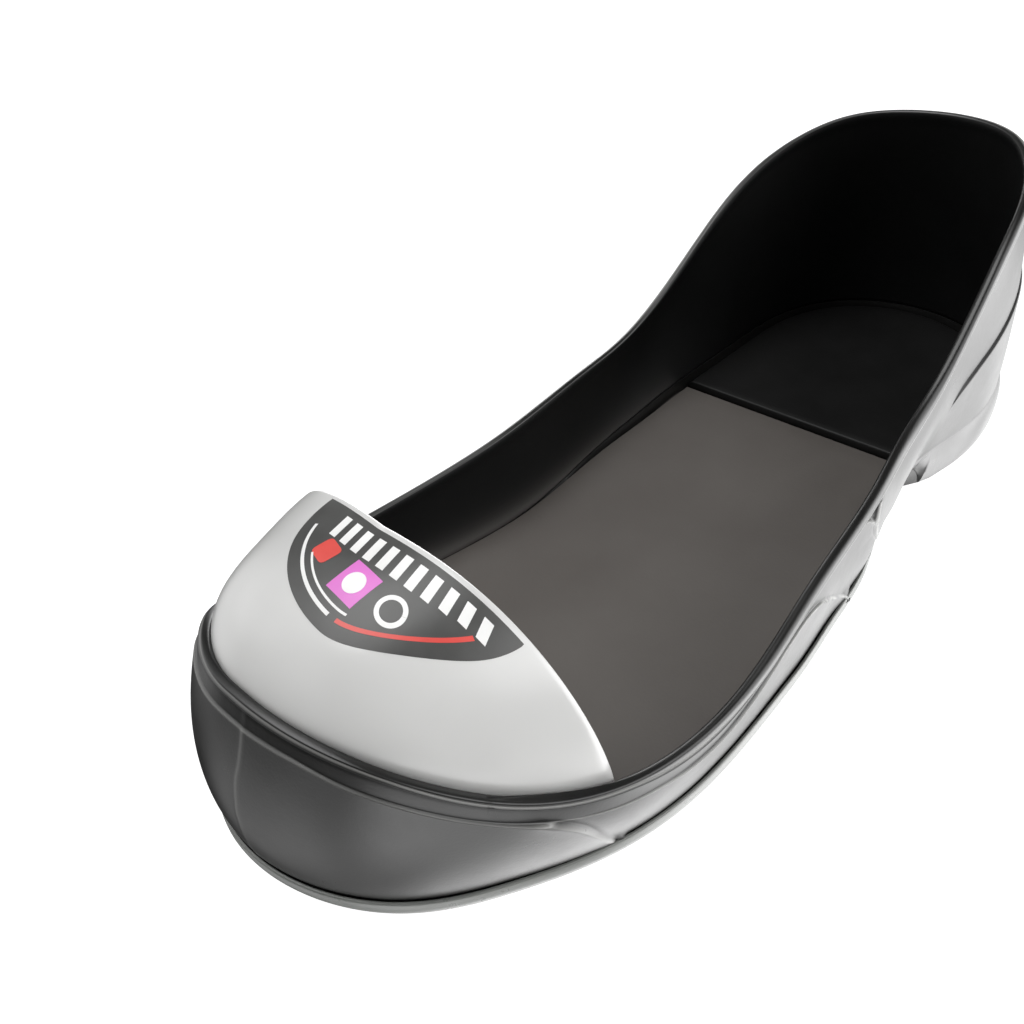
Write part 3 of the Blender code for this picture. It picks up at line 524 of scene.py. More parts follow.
class Net:
    """Collects vertices and faces of one piece, in the shoe's millimetres."""

    def __init__(self):
        self.v = []
        self.f = []
        self.m = []

    def ring(self, points):
        base = len(self.v)
        self.v += [tuple(map(float, p)) for p in points]
        return np.arange(base, len(self.v))

    def add(self, faces, material=0):
        for face in faces:
            face = [int(i) for i in face]
            clean = [q for j, q in enumerate(face) if q != face[j - 1]]
            if len(clean) > 2:
                self.f.append(clean)
                self.m.append(material)

    def fill(self, outer, holes, z_of, step, up, material=0):
        loops = [list(outer)] + [list(h) for h in holes]
        ids = [int(i) for loop in loops for i in loop]
        flat = [Vector(self.v[i][:2]) for i in ids]
        edges, base = [], 0
        for loop in loops:
            n = len(loop)
            edges += [(base + i, base + (i + 1) % n) for i in range(n)]
            base += n
        polys = [np.array([self.v[i][:2] for i in loop]) for loop in loops]
        rim = np.vstack(polys)
        lo, hi = polys[0].min(axis=0), polys[0].max(axis=0)
        gx, gy = np.meshgrid(np.arange(lo[0] + step / 2, hi[0], step), np.arange(lo[1] + step / 2, hi[1], step))
        gx[1::2] += step / 2
        grid = np.c_[gx.ravel(), gy.ravel()]
        if len(grid):
            keep = inside(grid, polys[0])
            for h in polys[1:]:
                keep &= ~inside(grid, h)
            grid = grid[keep]
        if len(grid):
            near = np.array([np.min((rim[:, 0] - p[0]) ** 2 + (rim[:, 1] - p[1]) ** 2) for p in grid])
            grid = grid[near > (0.45 * step) ** 2]
        if len(grid):
            z = z_of(grid[:, 0], grid[:, 1])
            new = self.ring(np.c_[grid, np.broadcast_to(z, len(grid))])
            ids += [int(i) for i in new]
            flat += [Vector(p) for p in grid]
        verts, _, tris, source, _, _ = delaunay_2d_cdt(flat, edges, [], 0, 1e-5)
        xy = np.array(verts)
        tris = np.array([t for t in tris])
        c = xy[tris].mean(axis=1)
        keep = inside(c, polys[0])
        for h in polys[1:]:
            keep &= ~inside(c, h)
        made = {}

        def extra(i):
            # two outlines crossed: the crossing becomes a point of its own
            if i not in made:
                x, y = xy[i]
                made[i] = int(self.ring([(x, y, float(np.ravel(z_of(np.array([x]), np.array([y])))[0]))])[0])
            return made[i]

        for tri in tris[keep]:
            face = [ids[source[i][0]] if source[i] else extra(i) for i in tri]
            self.f.append(face if up else face[::-1])
            self.m.append(material)

    def build(self, name, materials, sharp=None):
        thing = mesh_object(name, self.v, self.f, materials, self.m, None)
        bm = bmesh.new()
        bm.from_mesh(thing.data)
        bmesh.ops.delete(bm, geom=[v for v in bm.verts if not v.link_faces], context="VERTS")
        bmesh.ops.recalc_face_normals(bm, faces=bm.faces)
        if bm.calc_volume(signed=True) < 0:
            bmesh.ops.reverse_faces(bm, faces=bm.faces)
        bm.to_mesh(thing.data)
        bm.free()
        thing.data.shade_smooth()
        if sharp:
            thing.data.set_sharp_from_angle(angle=math.radians(sharp))
        return thing


# ---------------------------------------------------------------- materials
def node_material(name):
    material = bpy.data.materials.new(name)
    material.use_nodes = True
    tree = material.node_tree
    shader = tree.nodes["Principled BSDF"]
    coord = tree.nodes.new("ShaderNodeTexCoord")
    return material, tree, shader, coord.outputs["Object"]


def noise(tree, vector, scale, detail=3.0, rough=0.55):
    n = tree.nodes.new("ShaderNodeTexNoise")
    n.inputs["Scale"].default_value = scale
    n.inputs["Detail"].default_value = detail
    n.inputs["Roughness"].default_value = rough
    tree.links.new(vector, n.inputs["Vector"])
    return n.outputs["Fac"]


def spread(tree, value, low, high, lo=0.3, hi=0.7):
    n = tree.nodes.new("ShaderNodeMapRange")
    n.inputs["From Min"].default_value = lo
    n.inputs["From Max"].default_value = hi
    n.inputs["To Min"].default_value = low
    n.inputs["To Max"].default_value = high
    tree.links.new(value, n.inputs["Value"])
    return n.outputs["Result"]


def blend(tree, value, a, b):
    n = tree.nodes.new("ShaderNodeMix")
    n.data_type = "RGBA"
    n.inputs["A"].default_value = (*a, 1.0)
    n.inputs["B"].default_value = (*b, 1.0)
    tree.links.new(value, n.inputs["Factor"])
    return n.outputs["Result"]


def bump(tree, height, strength, distance, normal=None):
    n = tree.nodes.new("ShaderNodeBump")
    n.inputs["Strength"].default_value = strength
    n.inputs["Distance"].default_value = distance
    tree.links.new(height, n.inputs["Height"])
    if normal is not None:
        tree.links.new(normal, n.inputs["Normal"])
    return n.outputs["Normal"]


def moulded(name, dark, light, rough, specular, coat=0.0, coat_rough=0.2, grain=0.00002, grain_scale=1500.0):
    """Moulded rubber: even colour with a faint bloom, satin gloss that varies
    a little, and the fine grain of the mould."""
    material, tree, shader, at = node_material(name)
    cloud = spread(tree, noise(tree, at, 34.0, 4.0), 0.0, 1.0)
    tree.links.new(blend(tree, cloud, dark, light), shader.inputs["Base Color"])
    patch = spread(tree, noise(tree, at, 60.0, 5.0, 0.65), rough[0], rough[1])
    tree.links.new(patch, shader.inputs["Roughness"])
    fine = noise(tree, at, grain_scale, 2.0)
    soft = noise(tree, at, 170.0, 2.0)
    normal = bump(tree, soft, 1.0, 0.00003)
    normal = bump(tree, fine, 1.0, grain, normal)
    tree.links.new(normal, shader.inputs["Normal"])
    shader.inputs["Specular IOR Level"].default_value = specular
    shader.inputs["Coat Weight"].default_value = coat
    shader.inputs["Coat Roughness"].default_value = coat_rough
    return material


def shell_rubber():
    """The upper's rubber, with painted highlights: its moulded crests are painted paler where they would catch the
    light.
    """
    material, tree, shader, at = node_material("moulded_rubber")
    cloud = spread(tree, noise(tree, at, 34.0, 4.0), 0.0, 1.0)
    body = blend(tree, cloud, (0.0080, 0.0080, 0.0078), (0.0120, 0.0120, 0.0116))
    # painted highlight: the crest attribute mixes a pale colour into the rubber along the moulded edges and the bead
    crest = tree.nodes.new("ShaderNodeAttribute")
    crest.attribute_name = "crest"
    mix = tree.nodes.new("ShaderNodeMix")
    mix.data_type = "RGBA"
    tree.links.new(crest.outputs["Fac"], mix.inputs["Factor"])
    tree.links.new(body, mix.inputs["A"])
    mix.inputs["B"].default_value = (0.60, 0.60, 0.58, 1.0)
    tree.links.new(mix.outputs["Result"], shader.inputs["Base Color"])
    patch = spread(tree, noise(tree, at, 60.0, 5.0, 0.65), 0.27, 0.35)
    tree.links.new(patch, shader.inputs["Roughness"])
    normal = bump(tree, noise(tree, at, 170.0, 2.0), 1.0, 0.00003)
    tree.links.new(bump(tree, noise(tree, at, 1500.0, 2.0), 1.0, 0.00002, normal), shader.inputs["Normal"])
    shader.inputs["Specular IOR Level"].default_value = 0.55
    return material


RUBBER = shell_rubber()
def lining_rubber_painted_shade_and_reflection():
    """The inside of the shell: the same rubber as the outside, painted darker as painted shade, and painted paler where
    it curves into the footbed as painted reflected light.
    """
    material, tree, shader, at = node_material("lining_rubber_painted_shade_and_reflection")
    cloud = spread(tree, noise(tree, at, 34.0, 4.0), 0.0, 1.0)
    # painted shade: a darker copy of the shell rubber's colour
    body = blend(tree, cloud, (0.0030, 0.0031, 0.0032), (0.0044, 0.0045, 0.0046))
    # painted reflected light: the crest attribute mixes in the footbed's colour near it
    near = tree.nodes.new("ShaderNodeAttribute")
    near.attribute_name = "crest"
    mix = tree.nodes.new("ShaderNodeMix")
    mix.data_type = "RGBA"
    tree.links.new(near.outputs["Fac"], mix.inputs["Factor"])
    tree.links.new(body, mix.inputs["A"])
    mix.inputs["B"].default_value = (0.085, 0.080, 0.076, 1.0)
    tree.links.new(mix.outputs["Result"], shader.inputs["Base Color"])
    patch = spread(tree, noise(tree, at, 60.0, 5.0, 0.65), 0.50, 0.60)
    tree.links.new(patch, shader.inputs["Roughness"])
    normal = bump(tree, noise(tree, at, 170.0, 2.0), 1.0, 0.00003)
    tree.links.new(bump(tree, noise(tree, at, 1500.0, 2.0), 1.0, 0.00003, normal), shader.inputs["Normal"])
    shader.inputs["Specular IOR Level"].default_value = 0.22
    return material


LINING = lining_rubber_painted_shade_and_reflection()
SOLE_RUBBER = moulded("sole_rubber", (0.020, 0.017, 0.0165), (0.027, 0.023, 0.022), (0.36, 0.46), 0.5)
SEAT_RUBBER = moulded("heel_seat_rubber", (0.0042, 0.0043, 0.0043), (0.0065, 0.0065, 0.0064), (0.42, 0.52), 0.3,
                      grain=0.00003)
BOARD_RUBBER = moulded("footbed_rubber", (0.095, 0.086, 0.079), (0.108, 0.099, 0.091), (0.44, 0.56), 0.4,
                       grain=0.00004, grain_scale=1100.0)


def foxing_rubber():
    """The strip round the sole's edge: painted paler in front, a painted
    reflection of the pale floor, and like the rest at the heel."""
    material, tree, shader, at = node_material("foxing_rubber")
    along = tree.nodes.new("ShaderNodeSeparateXYZ")
    tree.links.new(at, along.inputs[0])
    # painted reflection: 1 in front, where the strip takes the pale colour, fading to 0 towards the heel
    share = spread(tree, along.outputs["Y"], 1.0, 0.0, -0.010, 0.040)
    cloud = spread(tree, noise(tree, at, 34.0, 4.0), 0.0, 1.0)
    pale = blend(tree, cloud, (0.170, 0.176, 0.167), (0.205, 0.212, 0.200))
    dark = blend(tree, cloud, (0.0080, 0.0080, 0.0078), (0.0120, 0.0120, 0.0116))
    mix = tree.nodes.new("ShaderNodeMix")
    mix.data_type = "RGBA"
    tree.links.new(share, mix.inputs["Factor"])
    tree.links.new(dark, mix.inputs["A"])
    tree.links.new(pale, mix.inputs["B"])
    tree.links.new(mix.outputs["Result"], shader.inputs["Base Color"])
    patch = spread(tree, noise(tree, at, 60.0, 5.0, 0.65), 0.26, 0.34)
    tree.links.new(patch, shader.inputs["Roughness"])
    tree.links.new(bump(tree, noise(tree, at, 1500.0, 2.0), 1.0, 0.00002), shader.inputs["Normal"])
    shader.inputs["Specular IOR Level"].default_value = 0.6
    return material


def tread_top():
    """Lug tops: a close dimple pattern, worn a little smoother in patches."""
    material, tree, shader, at = node_material("tread_texture")
    cloud = spread(tree, noise(tree, at, 40.0, 4.0), 0.0, 1.0)
    tree.links.new(blend(tree, cloud, (0.020, 0.0165, 0.016), (0.028, 0.024, 0.023)), shader.inputs["Base Color"])
    turn = tree.nodes.new("ShaderNodeMapping")
    turn.inputs["Rotation"].default_value = (0, 0, math.radians(34))
    turn.inputs["Scale"].default_value = (1.0, 0.72, 1.0)
    tree.links.new(at, turn.inputs["Vector"])
    cells = tree.nodes.new("ShaderNodeTexVoronoi")
    cells.inputs["Scale"].default_value = 620.0
    cells.inputs["Randomness"].default_value = 0.35
    tree.links.new(turn.outputs["Vector"], cells.inputs["Vector"])
    dome = spread(tree, cells.outputs["Distance"], 1.0, 0.0, 0.0, 0.62)
    worn = spread(tree, noise(tree, at, 55.0, 3.0), 0.40, 0.52)
    tree.links.new(worn, shader.inputs["Roughness"])
    tree.links.new(bump(tree, dome, 1.0, 0.00035), shader.inputs["Normal"])
    shader.inputs["Specular IOR Level"].default_value = 0.5
    return material


def cap_paint():
    """Light grey painted steel: a hard satin coat over a smooth plate."""
    material, tree, shader, at = node_material("cap_paint")
    cloud = spread(tree, noise(tree, at, 22.0, 3.0), 0.0, 1.0)
    tree.links.new(blend(tree, cloud, (0.60, 0.60, 0.592), (0.65, 0.65, 0.64)), shader.inputs["Base Color"])
    tree.links.new(spread(tree, noise(tree, at, 90.0, 4.0), 0.30, 0.38), shader.inputs["Roughness"])
    peel = noise(tree, at, 420.0, 2.0)
    tree.links.new(bump(tree, peel, 1.0, 0.000012), shader.inputs["Normal"])
    shader.inputs["Coat Weight"].default_value = 0.6
    shader.inputs["Coat Roughness"].default_value = 0.14
    return material


def print_ink(name, dark, light, rough=(0.34, 0.42), coat=0.25):
    material, tree, shader, at = node_material(name)
    tree.links.new(blend(tree, spread(tree, noise(tree, at, 130.0, 4.0), 0.0, 1.0), dark, light),
                   shader.inputs["Base Color"])
    tree.links.new(spread(tree, noise(tree, at, 260.0, 4.0), *rough), shader.inputs["Roughness"])
    tree.links.new(bump(tree, noise(tree, at, 1600.0, 2.0), 1.0, 0.00001), shader.inputs["Normal"])
    shader.inputs["Coat Weight"].default_value = coat
    shader.inputs["Coat Roughness"].default_value = 0.25
    return material


FOXING = foxing_rubber()
TREAD = tread_top()
PAINT = cap_paint()
INK_DARK = print_ink("label_field", (0.048, 0.048, 0.046), (0.062, 0.062, 0.060))
INK_WHITE = print_ink("label_white", (0.80, 0.80, 0.79), (0.88, 0.88, 0.87))
INK_MAGENTA = print_ink("label_magenta", (0.66, 0.14, 0.56), (0.72, 0.17, 0.61))
INK_RED = print_ink("label_red", (0.66, 0.060, 0.048), (0.74, 0.080, 0.066))


# ---------------------------------------------------------------- upper
def row_panel(u):
    """Where the rim's rows gather: along the panels' upper edge, and a little
    under the bead behind them."""
    follow_line = np.minimum(panel_top(u), 8.7)
    calm = bead_line(u) + 2.0
    w = smooth((u - 160.0) / 20.0)
    return np.maximum(follow_line * (1 - w) + calm * w, bead_line(u) + 1.5)


def sole_side_out(u, share, lateral=None):
    """How far the sole's side stands outside the sole edge at a share of its
    height: a crisp foxing edge in front, a rounded block at the heel."""
    up = [0.0, 0.03, 0.08, 0.16, 0.26, 0.38, 0.50, 0.62, 0.74, 0.84, 0.91, 0.955, 0.985, 1.0]
    front = [-3.0, -1.7, -0.95, -0.40, -0.08, 0.12, 0.24, 0.30, 0.27, 0.20, 0.12, 0.05, -0.10, -0.36]
    waist = [-3.0, -1.8, -1.05, -0.48, -0.10, 0.12, 0.24, 0.28, 0.24, 0.17, 0.11, 0.07, 0.04, 0.02]
    heel = [-0.9, 0.00, 0.45, 0.80, 1.02, 1.17, 1.25, 1.24, 1.08, 0.82, 0.54, 0.32, 0.15, 0.03]
    a = np.interp(share, up, front)
    b = np.interp(share, up, waist)
    c = np.interp(share, up, heel)
    w = flush(u)
    s = np.interp(u, LATERAL.u, LATERAL.station)
    h = smooth((BREAST + SCOOP / LENGTH + 0.03 - s) / 0.06)
    c = c * (0.45 + 0.55 * smooth((u - 255.0) / 50.0))
    return (a * (1 - w) + b * w) * (1 - h) + c * h


def make_upper():
    rings, index, crest = [], [], []

    def outer(z_of, extra=None, mark=None):
        ring, z = settled(z_of)
        out = ring.wall(z) + relief(ring, z) + (0.0 if extra is None else extra(ring, z))
        rings.append(ring.place(out, z))
        index.append(0)
        # painted highlight: the crest attribute gets the crest lines, or the row's own painted mark
        crest.append(painted_crest_highlight(ring, z) if mark is None else mark(ring.u))

    # the skin's lower edge: tucked behind the foxing in front, and feathered
    # just over the sole's top edge behind the waist
    def skirt(depth, over):
        ring = BASE
        w = flush(ring.u)
        z = ring.feather - depth * w + 0.02 * (1 - w)
        low = side_bottom()
        share = (z - low) / (ring.feather - low)
        behind = sole_side_out(ring.u, share) + over
        out = (ring.wall(z) + relief(ring, ring.feather + 0.02)) * (1 - w) + behind * w
        rings.append(ring.place(out, z))
        index.append(0)
        crest.append(np.zeros(COUNT))

    skirt(0.9, -0.10)
    skirt(0.5, 0.005)
    skirt(0.2, 0.02)
    for g in (0.22, 0.5, 0.8, 1.15, 1.55, 2.0, 2.6, 3.4, 4.4):
        outer(lambda ring, g=g: ring.feather + g)

    def middle_row(ring, part, offset):
        """Rows between the foxing and the rim; those with an offset lie close
        to the counter's edge, and at mid height where there is none."""
        low, high = ring.feather + 4.4, ring.top - row_panel(ring.u) - 6.2
        line = np.clip(counter(ring.u), low + 4.5, high - 4.5)
        w = smooth((ring.u - 224.0) / 26.0)
        mid = (low * 0.5 + high * 0.5) * (1 - w) + line * w
        span = np.minimum(1.0, (high - low) / 22.0)
        if part < 0:
            return low + (mid - 2.6 * span - low) * (1 + part)
        if part > 0:
            return mid + 2.2 * span + (high - mid - 2.2 * span) * part
        return mid + offset * span

    for i in range(1, 15):
        outer(lambda ring, w=i / 15 - 1: middle_row(ring, w, 0.0))
    for offset in (-2.6, -1.9, -1.3, -0.9, -0.6, -0.35, -0.12, 0.12, 0.35, 0.6, 0.9, 1.3, 1.7, 2.2):
        outer(lambda ring, offset=offset: middle_row(ring, 0, offset))
    for i in range(1, 15):
        outer(lambda ring, w=i / 15: middle_row(ring, w, 0.0))
    for s in (6.2, 4.8, 3.7, 2.8, 2.1, 1.5, 1.05, 0.7, 0.42, 0.22, 0.08, -0.06, -0.2, -0.36):
        outer(lambda ring, s=s: ring.top - row_panel(ring.u) - s)
    for w in (0.25, 0.5, 0.75):
        outer(lambda ring, w=w: ring.top - (row_panel(ring.u) - 0.36) * (1 - w) - (bead_line(ring.u) + 0.6) * w)
    # bead: (share of the bead line's drop, extra drop, out, how much the ridge pulls it in)
    ridge = lambda u: smooth((142.0 - u) / 30.0)
    under = lambda u: 0.10 * smooth((u - 120) / 40)      # the fine dark line under the bead
    profile = (
        (1.0, 0.60, 0.00, 0.0), (1.0, 0.34, -0.05, 0.0), (1.0, 0.18, -0.02, 0.0), (1.0, 0.06, 0.30, 0.0),
        (1.0, -0.08, 0.70, 0.0), (1.0, -0.26, 0.88, 0.0), (1.0, -0.42, 0.90, 0.04), (1.0, -0.56, 0.88, 0.20),
        (1.0, -0.68, 0.86, 0.42), (0.62, -0.46, 0.84, 0.46), (0.46, -0.36, 0.74, 0.36), (0.30, -0.25, 0.52, 0.24),
        (0.13, -0.11, 0.14, 0.06), (0.03, -0.02, -0.28, 0.0), (0.0, 0.0, -0.75, 0.0),
    )
    medial = np.where(ON_LATERAL, 0.0, 1.0)
    away = lambda u: np.maximum(medial, smooth((u - 305.0) / 15.0)) * smooth((u - 30.0) / 40.0)
    # painted highlights: pale lines along the bead's outer edge, given per row of its profile
    marks = {
        4: lambda u: 0.12 * (1 - ridge(u)) * (1 - medial), 5: lambda u: 0.50 * (1 - ridge(u)) * (1 - medial),
        6: lambda u: 0.20 * (1 - ridge(u)) * (1 - medial),
        7: lambda u: 0.08 * ridge(u), 8: lambda u: ridge(u) * np.interp(u, [0, 60, 110, 142], [0.24, 0.28, 0.50, 0.60]),
        11: lambda u: 0.05 * away(u), 12: lambda u: 0.34 * away(u), 13: lambda u: 0.34 * away(u),
    }
    for row, (share, more, out, pull) in enumerate(profile):
        def extra(ring, z, out=out, pull=pull, share=share, more=more):
            body = out - pull * ridge(ring.u)
            keep = smooth((more + 0.1) / 0.4) if share == 1.0 and more > 0 else 0.0
            own = relief(ring, z)
            groove = -0.22 * under(ring.u) / 0.10 if (share == 1.0 and 0.1 < more < 0.5) else 0.0
            return body - own * (1 - keep) + groove
        outer(lambda ring, share=share, more=more: ring.top - np.maximum(bead_line(ring.u) * share + more, 0.0), extra,
              marks.get(row, lambda u: np.zeros(COUNT)))
    for drop, out in ((0.03, -1.15), (0.18, -1.52), (0.48, -1.88), (0.95, -2.14), (1.5, -2.27), (2.2, -2.27),
                      (3.0, -2.16), (4.0, -2.05), (5.2, -WALL)):
        z = BASE.top - drop
        rings.append(BASE.place(BASE.wall(z) + out, z))
        index.append(1 if drop > 0.9 else 0)
        crest.append(np.zeros(COUNT))
    lining = 14
    for i in range(lining):
        w = (1 - (i + 1) / lining) ** 1.7
        z = (BASE.feather + GAP) * (1 - w) + (BASE.top - 5.2) * w
        rings.append(BASE.place(BASE.wall(z) - WALL, z))
        index.append(1)
        # painted reflected light: the lining is painted paler, towards the footbed's colour, where it curves into it
        near = np.exp(-np.maximum(z - floor_height(XY[:, 1]) - BOARD, 0.0) / 2.6)
        crest.append(near * medial * smooth((BASE.u - 80.0) / 30.0) * smooth((STATION - 0.305) / 0.02))
    verts = np.vstack(rings)
    n = len(rings)
    ids = np.arange(n * COUNT).reshape(n, COUNT)
    faces = np.vstack([bridge(ids[i], ids[(i + 1) % n]) for i in range(n)])
    material = np.repeat([index[(i + 1) % n] for i in range(n)], COUNT)
    thing = mesh_object("upper_shell", verts, faces, [RUBBER, LINING], material)
    # the crest attribute: painted highlights on the outside, painted reflected light on the lining near the footbed
    layer = thing.data.attributes.new("crest", "FLOAT", "POINT")
    layer.data.foreach_set("value", np.concatenate(crest).astype(np.float32))
    outward(thing)
    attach(thing, "root")
    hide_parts("upper")
    return thing


# ---------------------------------------------------------------- outsole
def half_widths(y):
    side = FXY[:TOE + 1]
    lateral = np.interp(-np.asarray(y, float), -side[:, 1], side[:, 0])
    side = FXY[TOE:]
    medial = np.interp(np.asarray(y, float), side[:, 1], side[:, 0])
    return lateral, medial


def base_height(x, y):
    lateral, medial = half_widths(y)
    u = np.abs(2 * (x - medial) / np.maximum(lateral - medial, 1.0) - 1)
    lift = ARCH_MIDDLE + (ARCH_EDGE - ARCH_MIDDLE) * np.minimum(u, 1.0) ** 4
    return spring(y) + LUG + lift * rise(y)


def tuck(up):
    lat = np.interp(STATION, [row["at"] for row in TUCK], [row["lateral"] for row in TUCK])
    med = np.interp(STATION, [row["at"] for row in TUCK], [row["medial"] for row in TUCK])
    return np.where(ON_LATERAL, lat, med) * np.maximum(1 - up, 0) ** 1.5


def side_bottom():
    full = base_height(XY[:, 0], XY[:, 1])
    reach = np.clip((STATION - BREAST) * LENGTH / SCOOP, 0.0, 1.0)
    hollow = LUG + (full - LUG) * np.sqrt(np.maximum(0.0, 1 - (1 - reach) ** 2))
    return np.where(STATION <= BREAST + 1e-5, LUG, hollow)


def vee(at, side, points_out, width=27.0, depth=24.0, bar=7.6, inset=7.5):
    half = 1 if side == "lateral" else -1
    pick = np.arange(0, TOE + 1) if half > 0 else np.arange(TOE, FINE)
    k = pick[np.argmin(np.abs(FXY[pick, 1] - y_of(at)))]
    origin = FXY[k] - FN[k] * inset
    inward = -FN[k] * 0.45 - np.array([half * 0.55, 0.0])
    inward /= np.linalg.norm(inward)
    along = np.array([-inward[1], inward[0]])
    w, d, b = width / 2, depth, bar
    shape = [(-w, d), (-w + b, d), (0, b * 1.15), (w - b, d), (w, d), (b * 0.5, 0), (-b * 0.5, 0)]
    if not points_out:
        shape = [(u, d - v) for u, v in shape]
    return [tuple(origin + along * u + inward * v) for u, v in shape]


def stroke(path, bar):
    pts = [np.array(p, float) for p in path]
    left, right = [], []
    for i, p in enumerate(pts):
        before = pts[i] - pts[i - 1] if i else pts[1] - pts[0]
        after = pts[i + 1] - pts[i] if i < len(pts) - 1 else before
        n1 = np.array([-before[1], before[0]]) / np.linalg.norm(before)
        n2 = np.array([-after[1], after[0]]) / np.linalg.norm(after)
        mitre = (n1 + n2) / (1 + n1 @ n2) * bar / 2
        left.append(p + mitre)
        right.append(p - mitre)
    return left + right[::-1]


def place(shape, centre, turn):
    pts = np.array(shape)
    pts = pts - (pts.min(axis=0) + pts.max(axis=0)) / 2
    c, s = math.cos(math.radians(turn)), math.sin(math.radians(turn))
    return [(centre[0] + c * u - s * v, centre[1] + s * u + c * v) for u, v in pts]


def toe_pad():
    y_back = y_of(0.865)
    pick = [k for k in range(COUNT) if (XY[k] - NORMAL[k] * 9.0)[1] < y_back + 4.0][::5]
    arc = [tuple(XY[k] - NORMAL[k] * 9.0) for k in pick]
    a, b = np.array(arc[-1]), np.array(arc[0])
    notch = [(0.22, -3.0), (0.36, 3.5), (0.41, -3.0), (0.50, -3.0), (0.55, 4.5), (0.64, 4.5), (0.69, -3.0), (0.82, 3.0)]
    return arc + [tuple(a + (b - a) * u + np.array([0.0, v])) for u, v in notch]


KEY = ((0, 25), (0, 0), (26, 0), (26, 23), (10, 23), (10, 10.5), (17, 10.5))


def lugs():
    shapes = [toe_pad()]
    for i in range(6):
        at = (0.808, 0.738, 0.674, 0.612, 0.551, 0.490)[i]
        shapes.append(vee(at, "lateral", i % 2 == 0, width=24.0, depth=20.0, bar=6.4))
        shapes.append(vee(at, "medial", i % 2 == 0, width=22.5, depth=18.0 if i < 4 else 17.0, bar=6.4))
    key = stroke(KEY, 6.0)
    shapes.append(place(key, (2.0, -61.0), 33.0))
    shapes.append(place(key, (7.0, -13.0), 213.0))
    shapes.append(place(stroke(((0, 0), (10, 0), (17, 11)), 5.5), (-11.0, -91.5), 10.0))
    lens = [(10 * math.cos(t), 3.0 * math.sin(t)) for t in (0.0, 0.9, 1.57, 2.24, 3.14, 4.04, 4.71, 5.38)]
    shapes.append(place(lens, (12.0, -93.5), -20.0))
    return shapes


def heel_lugs():
    shapes = []
    for y, half in ((92.0, 27.0), (108.0, 25.0), (123.0, 19.0)):
        w = 4.2
        shapes.append([(HEEL_X - half, y + 5 - w), (HEEL_X, y - w), (HEEL_X + half, y + 5 - w),
                       (HEEL_X + half, y + 5 + w), (HEEL_X, y + w), (HEEL_X - half, y + 5 + w)])
    return shapes


def rounded(shape, radius=1.4, parts=4):
    """The outline, counter-clockwise, with its corners rounded."""
    p = np.array(shape, float)
    area = 0.5 * np.sum(p[:, 0] * np.roll(p[:, 1], -1) - np.roll(p[:, 0], -1) * p[:, 1])
    if area < 0:
        p = p[::-1]
    out = []
    n = len(p)
    for i in range(n):
        a, b, c = p[i - 1], p[i], p[(i + 1) % n]
        da, dc = a - b, c - b
        la, lc = np.linalg.norm(da), np.linalg.norm(dc)
        turn = abs(math.pi - math.acos(np.clip(da @ dc / (la * lc), -1, 1)))
        if turn < 0.25:
            out.append(b)
            continue
        r = min(radius, 0.35 * la, 0.35 * lc)
        for j in range(parts + 1):
            t = j / parts
            p0, p2 = b + da / la * r, b + dc / lc * r
            out.append((1 - t) ** 2 * p0 + 2 * t * (1 - t) * b + t * t * p2)
    return np.array(out)


def grown(p, d):
    """A counter-clockwise outline moved outward by d."""
    e = np.roll(p, -1, axis=0) - p
    e /= np.linalg.norm(e, axis=1)[:, None]
    n = np.c_[e[:, 1], -e[:, 0]]
    m = n + np.roll(n, 1, axis=0)
    m /= np.maximum(0.35, np.einsum("ij,ij->i", m, m) / 2)[:, None]
    return p + m * d


